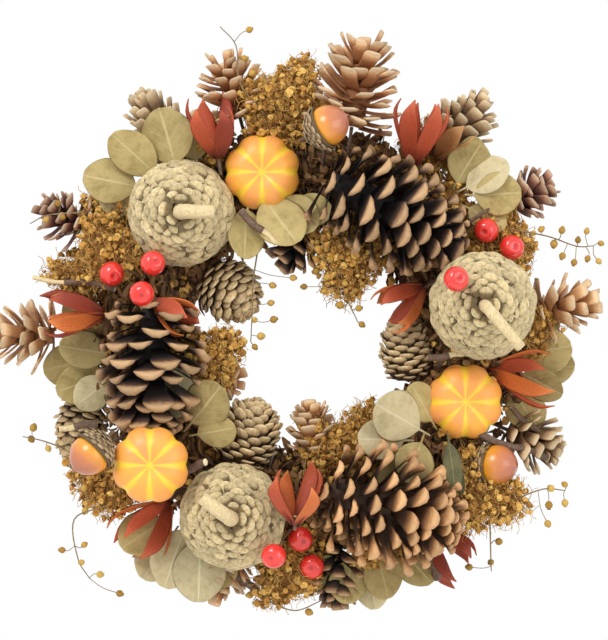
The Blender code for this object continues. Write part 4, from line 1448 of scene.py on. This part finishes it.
SPRIGS = (
    Sprig(((350, 40, 46), (346, 62, 44), (347, 84, 42), (345, 98, 40)), ((349, 66), (348, 76), (350, 92))),
    Sprig(((20, -26, 48), (24, -44, 52), (40, -60, 52), (70, -64, 50)),
          ((18, -47), (10, -56), (20, -58), (22, -66), (46, -68), (36, -56), (60, -60), (75, -62), (0, -66))),
    Sprig(((336, -32, 48), (318, -52, 52), (300, -62, 50), (270, -66, 48)),
          ((350, -60), (330, -60), (318, -68), (292, -66), (275, -72), (262, -68), (304, -76))),
    Sprig(((62, 44, 44), (67, 62, 42), (71, 76, 40), (72, 86, 38)),
          ((65, 60), (69, 64), (72, 66), (67, 71), (74, 72), (70, 78), (74, 80), (69, 85), (75, 86),
           (72, 91))),
    Sprig(((128, 60, 44), (122, 72, 42), (120, 84, 40)),
          ((121, 76), (119, 82), (124, 80), (122, 88), (127, 86))),
    Sprig(((134, 58, 42), (139, 74, 40), (141, 82, 38)), ((136, 72), (140, 78), (144, 72))),
    Sprig(((230, 58, 44), (232, 78, 42), (226, 92, 40), (222, 96, 38)),
          ((236, 62), (232, 70), (227, 84), (225, 92), (221, 90), (216, 92), (229, 96))),
    Sprig(((246, 62, 40), (249, 72, 38), (251, 82, 36)), ((247, 70), (250, 78), (252, 74))),
    Sprig(((184, 50, 40), (188, 60, 38), (182, 66, 36), (176, 60, 36)),
          ((190, 64), (184, 61), (192, 60), (179, 67))),
    Sprig(((300, 56, 42), (296, 74, 40), (293, 82, 38)), ((297, 66), (295, 74), (299, 72))),
)


def seed_pod(centre, along, size):
    """Round capsule with a puckered crown."""
    profile = ((0.25, -1.0), (0.72, -0.72), (1.0, -0.05), (0.82, 0.58), (0.42, 0.86), (0.52, 1.12),
               (0.18, 0.95))
    profile = [(radius * size, height * size, 0.0) for radius, height in profile]
    mesh = turned("pod", profile, 10, FINISHES["pod"], "tint")
    return place(mesh, frame_at(centre, aim(along)))


STEM_RADIUS = 0.45 * MM
STALK_RADIUS = 0.3 * MM


def sprig(number, item):
    """One stem with its pods, each on a hair stalk from the nearest part of the stem."""
    draw = random.Random(900 + number)
    path = smooth_path([spot(*where) for where in item.stem], 6)
    radii = [STEM_RADIUS * (1.2 - 0.5 * index / len(path)) for index in range(len(path))]
    parts = [tube("stem", path, radii, 5, FINISHES["stalk"])]
    depth = item.stem[-1][2]
    for clock, out in item.pods:
        centre = spot(clock, out, depth + draw.uniform(-5, 7))
        root = min(path, key=lambda point: (point - centre).length)
        middle = root.lerp(centre, 0.5) + clock_direction(draw.uniform(0, 360)) * 1.6 * MM
        stalk = smooth_path([root, middle, centre], 3)
        parts.append(tube("stalk", stalk, [STALK_RADIUS] * len(stalk), 4, FINISHES["stalk"]))
        parts.append(seed_pod(centre, centre - middle, draw.uniform(1.9, 2.5) * MM))
    for part in parts:
        if "tint" in part.attributes:
            paint(part, "tint", draw.random())
    dress(f"sprig_{number}", parts, None)


# How far the straw core lies inside the strands, and how deep its flat sides are against the ring
CORE_INSET = 1.8 * MM
SIDE_SHARE = 0.32
# Strands on the back keep to this share of its half width
BACK_SHARE = 0.92


def base_ring(strands):
    """Straw core with strands that lie along the ring and wander over its front and its back."""
    draw = random.Random(7)
    depth = RING_BACK_Y - RING_FRONT_Y
    edge = SIDE_SHARE * depth
    half = RING_HALF_WIDTH

    def surface(angle, inset):
        """Point on the D-section, from the back inner corner round the front to the back outer corner."""
        across = -math.cos(angle) * (half - inset)
        y = RING_BACK_Y - edge - (depth - edge - inset) * max(math.sin(angle), 0.0)
        return across, y

    def on_ring(across, y, clock):
        point = RING_CENTRE + clock_direction(clock) * (RING_LINE + across)
        point.y = y
        return point

    section = [(-half + 1.5 * MM, RING_BACK_Y - 1.2 * MM)]
    section += [surface(math.pi * step / 12, CORE_INSET) for step in range(13)]
    section += [(half - 1.5 * MM, RING_BACK_Y - 1.2 * MM)]
    straw = Shape()
    rings = [[on_ring(across, y, 360 * turn / 96) for across, y in section] for turn in range(96)]
    straw.rings(rings, [[{"tint": 0.15}] * len(section)] * 96, closed=True)
    parts = [straw.mesh("straw_core", FINISHES["straw"])]
    for index in range(strands):
        start = draw.uniform(0, 360)
        sweep = draw.uniform(40, 95)
        radius = draw.uniform(0.7, 1.4) * MM
        shade = draw.random()
        # Every third strand lies on the flat back
        back = index % 3 == 0
        first = draw.uniform(-0.9, 0.9) if back else draw.uniform(0.02, 0.98)
        last = first + draw.uniform(-0.22, 0.22)
        path = []
        for step in range(15):
            share = step / 14
            lie = first + (last - first) * share
            if back:
                across = max(-BACK_SHARE, min(BACK_SHARE, lie)) * half
                y = RING_BACK_Y - radius * 1.02
            else:
                across, y = surface(math.pi * max(0.0, min(1.0, lie)), radius * 1.05)
            path.append(on_ring(across, y, start + sweep * share))
        strand = tube("strand", path, [radius] * len(path), 6, FINISHES["straw"])
        paint(strand, "tint", shade)
        parts.append(strand)
    dress("straw_ring", parts, "base_ring")


# Square metres: more than any face over the ring's front, and less than the ones across its back
CLOSING_AREA = 4e-4


def ring_face():
    """Open sheet over the ring's front, a little off its surface, for the filling to be scattered on."""
    shape = Shape()
    rings = []
    for turn in range(72):
        ring = []
        for side in range(13):
            angle = math.pi * (0.06 + 0.88 * side / 12)
            across = -math.cos(angle) * (RING_HALF_WIDTH + 3 * MM)
            point = RING_CENTRE + clock_direction(360 * turn / 72) * (RING_LINE + across)
            point.y = RING_FRONT_Y + 8 * MM - 14 * MM * math.sin(angle)
            ring.append(point)
        rings.append(ring)
    shape.rings(rings, closed=True)
    sheet = shape.mesh("face", FINISHES["floret_brown"])
    # The long faces that close each ring across the back would hold filling inside the base
    work = bmesh.new()
    work.from_mesh(sheet)
    closing = [face for face in work.faces if face.calc_area() > CLOSING_AREA]
    bmesh.ops.delete(work, geom=closing, context="FACES")
    work.to_mesh(sheet)
    work.free()
    return sheet


# ---------------------------------------------------------------- settings


def width_property(label, note, default):
    return FloatProperty(name=label, description=note, default=default, min=0.0, precision=4, unit="LENGTH")


def count_property(label, note, default, least):
    return IntProperty(name=label, description=note, default=default, min=least)


class ConeSettings(bpy.types.PropertyGroup):
    large_scales: count_property("Large cone scales", "Scales on each large cone", 84, 8)
    large_width: width_property("Large scale width", "Width of a large cone's scale", 18.5 * MM)
    large_thickness: width_property("Large scale thickness", "Size that a large scale's lip follows", 11 * MM)
    small_scales: count_property("Small cone scales", "Scales on each small open cone", 42, 6)
    small_width: width_property("Small scale width", "Width of a small open cone's scale", 9.6 * MM)
    closed_scales: count_property("Closed cone scales", "Scales on each closed cone", 110, 8)
    closed_width: width_property("Closed scale width", "Width of a small closed cone's scale", 9 * MM)
    round_scales: count_property("Round cone scales", "Scales on each round cone", 520, 20)
    round_width: width_property("Round scale width", "Width of a round cone's scale", 10.4 * MM)


class FlowerSettings(bpy.types.PropertyGroup):
    petals: count_property("Petals", "Strap petals in each flower", 6, 3)


class FillingSettings(bpy.types.PropertyGroup):
    scraps: FloatProperty(name="Scrap density", description="Dried scraps on a square metre",
                          default=38000.0, min=0.0)
    strands: count_property("Strands", "Straw strands on the base ring", 460, 10)


class StageSettings(bpy.types.PropertyGroup):
    camera_distance: FloatProperty(name="Camera distance", description="From the door to the lens",
                                   default=2.3, unit="LENGTH")
    view_height: FloatProperty(name="View height", description="Height that the view takes in",
                               default=0.384, unit="LENGTH")
    surround_colour: FloatVectorProperty(name="Surround colour", description="Colour of the soft surround",
                                         default=(1.0, 1.0, 1.0), subtype="COLOR")


# ---------------------------------------------------------------- operators


class BuildOperator:
    bl_options = {"REGISTER"}


class WREATH_OT_base(BuildOperator, bpy.types.Operator):
    """Base ring of bundled straw, its wire ties, the eye and the hanging loop"""

    bl_idname = "wreath.base"
    bl_label = "Base ring and wires"

    def execute(self, context):
        base_ring(context.scene.wreath_filling.strands)
        for name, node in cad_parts.items():
            if name.startswith(("hanger_", "binding_tie_")):
                node.data.materials.clear()
                node.data.materials.append(FINISHES["wire"])
        return {"FINISHED"}


# Name, what is scattered, its finish, and its share of the density
FILLINGS = (
    ("filling_scraps", scrap, "floret_brown", 1.0),
    ("filling_florets", floret, "floret_brown", 0.7),
    ("filling_ochre", floret, "floret_gold", 0.22),
)


class WREATH_OT_filling(BuildOperator, bpy.types.Operator):
    """Dried scraps and florets that fill the face between the pieces"""

    bl_idname = "wreath.filling"
    bl_label = "Filling"

    def execute(self, context):
        density = context.scene.wreath_filling.scraps
        for seed, (name, maker, finish_name, share) in enumerate(FILLINGS, 50):
            piece = maker()
            bits = grow("scatter_over", ring_face(), Piece=piece, Material=FINISHES[finish_name],
                        Density=density * share, Seed=seed, Smallest=0.8, Largest=1.6, Inward=-3 * MM,
                        Outward=7 * MM)
            forget(piece)
            dress(name, [bits], None)
        return {"FINISHED"}


# By the number of the CAD cone; the third large one is warmer, with more and narrower scales
LARGE_LOOKS = {
    1: Look("cone_dark", 1.0, (-8, 66), 0.88, 0.15, 0.15),
    2: Look("cone_dark", 0.94, (-8, 66), 0.88, 0.15, 0.15),
    3: Look("cone_warm", 1.3, (-8, 66), 0.88, 0.15, 0.15, breadth=0.78),
}
SMALL_LOOKS = {
    1: Look("cone_red", 1.15, (-4, 58), 1.0, 0.26, 0.65),
    2: Look("cone_red", 1.35, (-4, 52), 0.86, 0.26, 0.6, breadth=1.25),
    3: Look("cone_grey", 1.0, (12, 78), 1.2, 0.20, 0.35),
    4: Look("cone_plum", 0.85, (-8, 62), 1.2, 0.28),
    5: Look("cone_tan", 0.85, (-8, 62), 1.15, 0.30),
    6: Look("cone_grey", 1.0, (6, 72), 1.15, 0.18, 0.4),
    7: Look("cone_plum", 0.85, (-8, 62), 1.2, 0.28),
    8: Look("cone_tan", 0.9, (-8, 60), 1.1, 0.30),
    13: Look("cone_tan", 0.9, (0, 64), 1.1, 0.24),
}
CLOSED_FINISHES = {9: "shield_grey", 10: "shield_tan", 11: "shield_tan", 12: "shield_tan"}


class ExtraCone(NamedTuple):
    """A small cone that has no CAD solid: its middle in clock degrees, mm out and deep, and how it stands."""

    clock: float
    out: float
    depth: float
    heading: float
    lean: float
    length: float
    radius: float
    look: Look


EXTRA_CONES = (
    ExtraCone(326, 52, 25, 326, 0, 46, 24, Look("cone_grey", 1.2, (30, 84), 1.0, 0.16, 0.3)),
    ExtraCone(172, 40, 26, 178, 10, 34, 18, Look("cone_dark", 0.9, (4, 70), 1.1, 0.20)),
    ExtraCone(199, 45, 24, 196, 12, 32, 17, Look("cone_red", 0.8, (-2, 68), 1.1, 0.24)),
    ExtraCone(358, -38, 36, 214, 12, 30, 15, Look("cone_dark", 0.7, (0, 66), 1.2, 0.24)),
    ExtraCone(247, -36, 30, 92, 16, 28, 14, Look("cone_red", 0.6, (0, 66), 1.15, 0.24)),
)


def extra_cone(number, item, scale, usual_count, width):
    """Small open cone that stands where its row says."""
    axis = heading(item.heading, item.lean)
    middle = spot(item.clock, item.out, item.depth)
    half = axis * item.length * MM / 2
    stand = Stance(middle - half, middle + half, axis, item.radius * MM)
    parts = cone_at(stand, scale, item.look, usual_count, width, width, 700 + number, SMALL_OUTLINE)
    dress(f"cone_extra_{number}", parts, None)


class WREATH_OT_cones(BuildOperator, bpy.types.Operator):
    """Large, small, closed and round cones"""

    bl_idname = "wreath.cones"
    bl_label = "Cones"

    def execute(self, context):
        wish = context.scene.wreath_cones
        wide, slim, tile, thin_tile = open_scale(), long_scale(), shield(), shingle()
        for number, look in LARGE_LOOKS.items():
            open_cone(f"cone_large_{number}", f"large_cone_{number}", wide, look, wish.large_scales,
                      wish.large_width * look.breadth, wish.large_thickness, number * 11, OPEN_OUTLINE)
        for number, look in SMALL_LOOKS.items():
            width = wish.small_width * look.breadth
            open_cone(f"cone_small_{number}", f"pine_cone_{number}", slim, look, wish.small_scales, width,
                      width, 100 + number * 7, SMALL_OUTLINE)
        for number, item in enumerate(EXTRA_CONES, 1):
            extra_cone(number, item, slim, wish.small_scales, wish.small_width)
        for number, finish_name in CLOSED_FINISHES.items():
            closed_cone(f"cone_closed_{number}", f"pine_cone_{number}", tile, finish_name,
                        wish.closed_scales, wish.closed_width, 300 + number)
        for number in (1, 2, 3):
            round_cone(f"cone_round_{number}", f"round_cone_{number}", thin_tile, wish.round_scales,
                       wish.round_width, 400 + number)
        for piece in (wide, slim, tile, thin_tile):
            forget(piece)
        return {"FINISHED"}


class WREATH_OT_pumpkins(BuildOperator, bpy.types.Operator):
    """Three painted foam mini pumpkins"""

    bl_idname = "wreath.pumpkins"
    bl_label = "Mini pumpkins"

    def execute(self, context):
        for number in (1, 2, 3):
            pumpkin(f"pumpkin_{number}", f"mini_pumpkin_{number}")
        return {"FINISHED"}


# Where each group of three berries is wired to the ring
BERRY_JOINTS = ((291, 6, 40), (63, 20, 40), (182, 14, 40))


class WREATH_OT_nuts(BuildOperator, bpy.types.Operator):
    """Lacquered berries on wires, and acorns with scaly cups"""

    bl_idname = "wreath.nuts"
    bl_label = "Berries and acorns"

    def execute(self, context):
        for number in range(1, 10):
            joint = spot(*BERRY_JOINTS[(number - 1) // 3])
            berry(f"red_berry_{number}", f"berry_{number}", number, joint)
        tile = shield()
        for number in (1, 2, 3):
            acorn(number, tile)
        forget(tile)
        return {"FINISHED"}


class ExtraFlower(NamedTuple):
    """Petals that have no CAD solid: their root in clock degrees, mm out and deep, and how they stand."""

    clock: float
    out: float
    depth: float
    heading: float
    lean: float
    length: float
    spread: float
    petals: int
    hue: tuple


EXTRA_FLOWERS = (
    ExtraFlower(284, -6, 60, 118, 24, 30, 12, 4, ("petal_orange", "petal_red")),
    ExtraFlower(36, 38, 38, 46, 14, 26, 11, 5, ("petal_brown",)),
)


# Petal finishes of each CAD flower, taken in turn round its cup
FLOWER_HUES = {
    "wood_flower_1": ("petal_maroon", "petal_red"),
    "wood_flower_2": ("petal_red",),
    "wood_flower_3": ("petal_maroon", "petal_orange"),
    "wood_flower_4": ("petal_orange", "petal_red"),
    "wood_flower_5": ("petal_orange", "petal_red", "petal_red"),
    "wood_flower_6": ("petal_maroon",),
    "wood_flower_7": ("petal_orange", "petal_orange", "petal_red"),
    "front_flower": ("petal_red", "petal_red", "petal_orange"),
}


class WREATH_OT_flowers(BuildOperator, bpy.types.Operator):
    """Cupped flowers of dyed woody petals"""

    bl_idname = "wreath.flowers"
    bl_label = "Flowers"

    def execute(self, context):
        petals = context.scene.wreath_flowers.petals
        for number, (node, hue) in enumerate(FLOWER_HUES.items(), 1):
            flower(f"petals_{number}", node, petals, 599 + number, hue)
        for number, item in enumerate(EXTRA_FLOWERS, len(FLOWER_HUES) + 1):
            where = frame_at(spot(item.clock, item.out, item.depth), aim(heading(item.heading, item.lean)))
            parts = cup_of_petals(where, item.length * MM, item.spread * MM, item.petals, 600 + number,
                                  item.hue)
            dress(f"petals_{number}", parts, None)
        return {"FINISHED"}


class WREATH_OT_leaves(BuildOperator, bpy.types.Operator):
    """Fans of round pressed leaves"""

    bl_idname = "wreath.leaves"
    bl_label = "Leaves"

    def execute(self, context):
        for name, leaves in LEAVES.items():
            leaf_group(name.replace("spray", "fan"), leaves, name)
        for name, leaves in LOOSE_LEAVES.items():
            leaf_group(name, leaves)
        return {"FINISHED"}


class WREATH_OT_florets(BuildOperator, bpy.types.Operator):
    """Clumps of dried florets, twigs and sprigs with seed pods"""

    bl_idname = "wreath.florets"
    bl_label = "Florets, twigs and sprigs"

    def execute(self, context):
        pieces = floret(), thread()
        for number, (across, deep, count) in CLUMP_SHAPES.items():
            node = f"floret_clump_{number}"
            low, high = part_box(node)
            clump(f"florets_{number}", (low + high) / 2, across, deep, count, pieces, number, node)
        for number, (name, item) in enumerate(LOOSE_CLUMPS.items(), 10):
            centre = spot(item.clock, item.out, item.depth)
            clump(name, centre, item.across, item.deep, item.florets, pieces, number)
        for piece in pieces:
            forget(piece)
        for number, item in enumerate(TWIGS, 1):
            twig(number, item)
        for number, item in enumerate(SPRIGS, 1):
            sprig(number, item)
        return {"FINISHED"}


FLOOR_RADIUS = 0.35
FLOOR_THICKNESS = 5 * MM
# How far the floor's top lies below the CAD model
FLOOR_DROP = 70 * MM
# The view height is measured on a plane this far in front of the door
FACE_DEPTH = 50 * MM
SENSOR_HEIGHT = 24.0
# Name, place from the point looked at, width in metres and power in watts
SOFTBOXES = (
    ("key_softbox", Vector((-0.9, -1.5, 1.3)), 0.9, 24.0),
    ("fill_softbox", Vector((1.3, -1.4, 0.2)), 1.2, 9.0),
)


class WREATH_OT_stage(BuildOperator, bpy.types.Operator):
    """Pale floor, soft light and the camera square to the wreath's face"""

    bl_idname = "wreath.stage"
    bl_label = "Stage"

    def execute(self, context):
        scene = context.scene
        wish = scene.wreath_stage
        scene.view_settings.view_transform = "Standard"
        world = bpy.data.worlds.new("soft_surround")
        scene.world = world
        world.use_nodes = True
        ground = world.node_tree.nodes["Background"]
        ground.inputs["Color"].default_value = (*wish.surround_colour, 1.0)
        ground.inputs["Strength"].default_value = 1.0
        look_at = RING_CENTRE + UP * 12 * MM
        self.floor(scene)
        self.camera(scene, wish, look_at)
        for name, offset, size, power in SOFTBOXES:
            self.light(scene, name, look_at + offset, size, power, look_at)
        return {"FINISHED"}

    def floor(self, scene):
        shape = Shape()
        top = CAD_BOX[0].z - FLOOR_DROP
        shape.rings([circle(FLOOR_RADIUS, level, 64) for level in (top - FLOOR_THICKNESS, top)])
        made = bpy.data.objects.new("floor", shape.mesh("floor", FINISHES["floor"], smooth=False))
        scene.collection.objects.link(made)

    def camera(self, scene, wish, look_at):
        data = bpy.data.cameras.new("camera")
        data.sensor_fit = "VERTICAL"
        data.sensor_height = SENSOR_HEIGHT
        data.lens = SENSOR_HEIGHT * (wish.camera_distance - FACE_DEPTH) / wish.view_height
        made = bpy.data.objects.new("camera", data)
        made.location = Vector((look_at.x, -wish.camera_distance, look_at.z))
        made.rotation_euler = (math.pi / 2, 0, 0)
        scene.collection.objects.link(made)
        scene.camera = made

    def light(self, scene, name, where, size, power, target):
        data = bpy.data.lights.new(name, "AREA")
        data.size = size
        data.energy = power
        made = bpy.data.objects.new(name, data)
        made.location = where
        made.rotation_euler = (target - where).to_track_quat("-Z", "Y").to_euler()
        scene.collection.objects.link(made)


OPERATORS = (WREATH_OT_base, WREATH_OT_filling, WREATH_OT_cones, WREATH_OT_pumpkins, WREATH_OT_nuts,
             WREATH_OT_flowers, WREATH_OT_leaves, WREATH_OT_florets, WREATH_OT_stage)


class WREATH_PT_panel(bpy.types.Panel):
    """Lists the wreath's pieces and their settings"""

    bl_label = "Harvest door wreath"
    bl_space_type = "VIEW_3D"
    bl_region_type = "UI"
    bl_category = "Wreath"

    def draw(self, context):
        for name in ("wreath_cones", "wreath_flowers", "wreath_filling", "wreath_stage"):
            group = getattr(context.scene, name)
            column = self.layout.column(align=True)
            for key in group.__annotations__:
                column.prop(group, key)
        for operator in OPERATORS:
            self.layout.operator(operator.bl_idname)


SETTINGS = {"wreath_cones": ConeSettings, "wreath_flowers": FlowerSettings, "wreath_filling": FillingSettings,
            "wreath_stage": StageSettings}


def register():
    for kind in (*SETTINGS.values(), *OPERATORS, WREATH_PT_panel):
        bpy.utils.register_class(kind)
    for name, kind in SETTINGS.items():
        setattr(bpy.types.Scene, name, PointerProperty(type=kind))


def unregister():
    for name in SETTINGS:
        delattr(bpy.types.Scene, name)
    for kind in reversed((*SETTINGS.values(), *OPERATORS, WREATH_PT_panel)):
        bpy.utils.unregister_class(kind)


def main():
    register()
    build_finishes()
    build_trees()
    for operator in OPERATORS:
        group, name = operator.bl_idname.split(".")
        getattr(getattr(bpy.ops, group), name)()


if __name__ == "__main__":
    main()
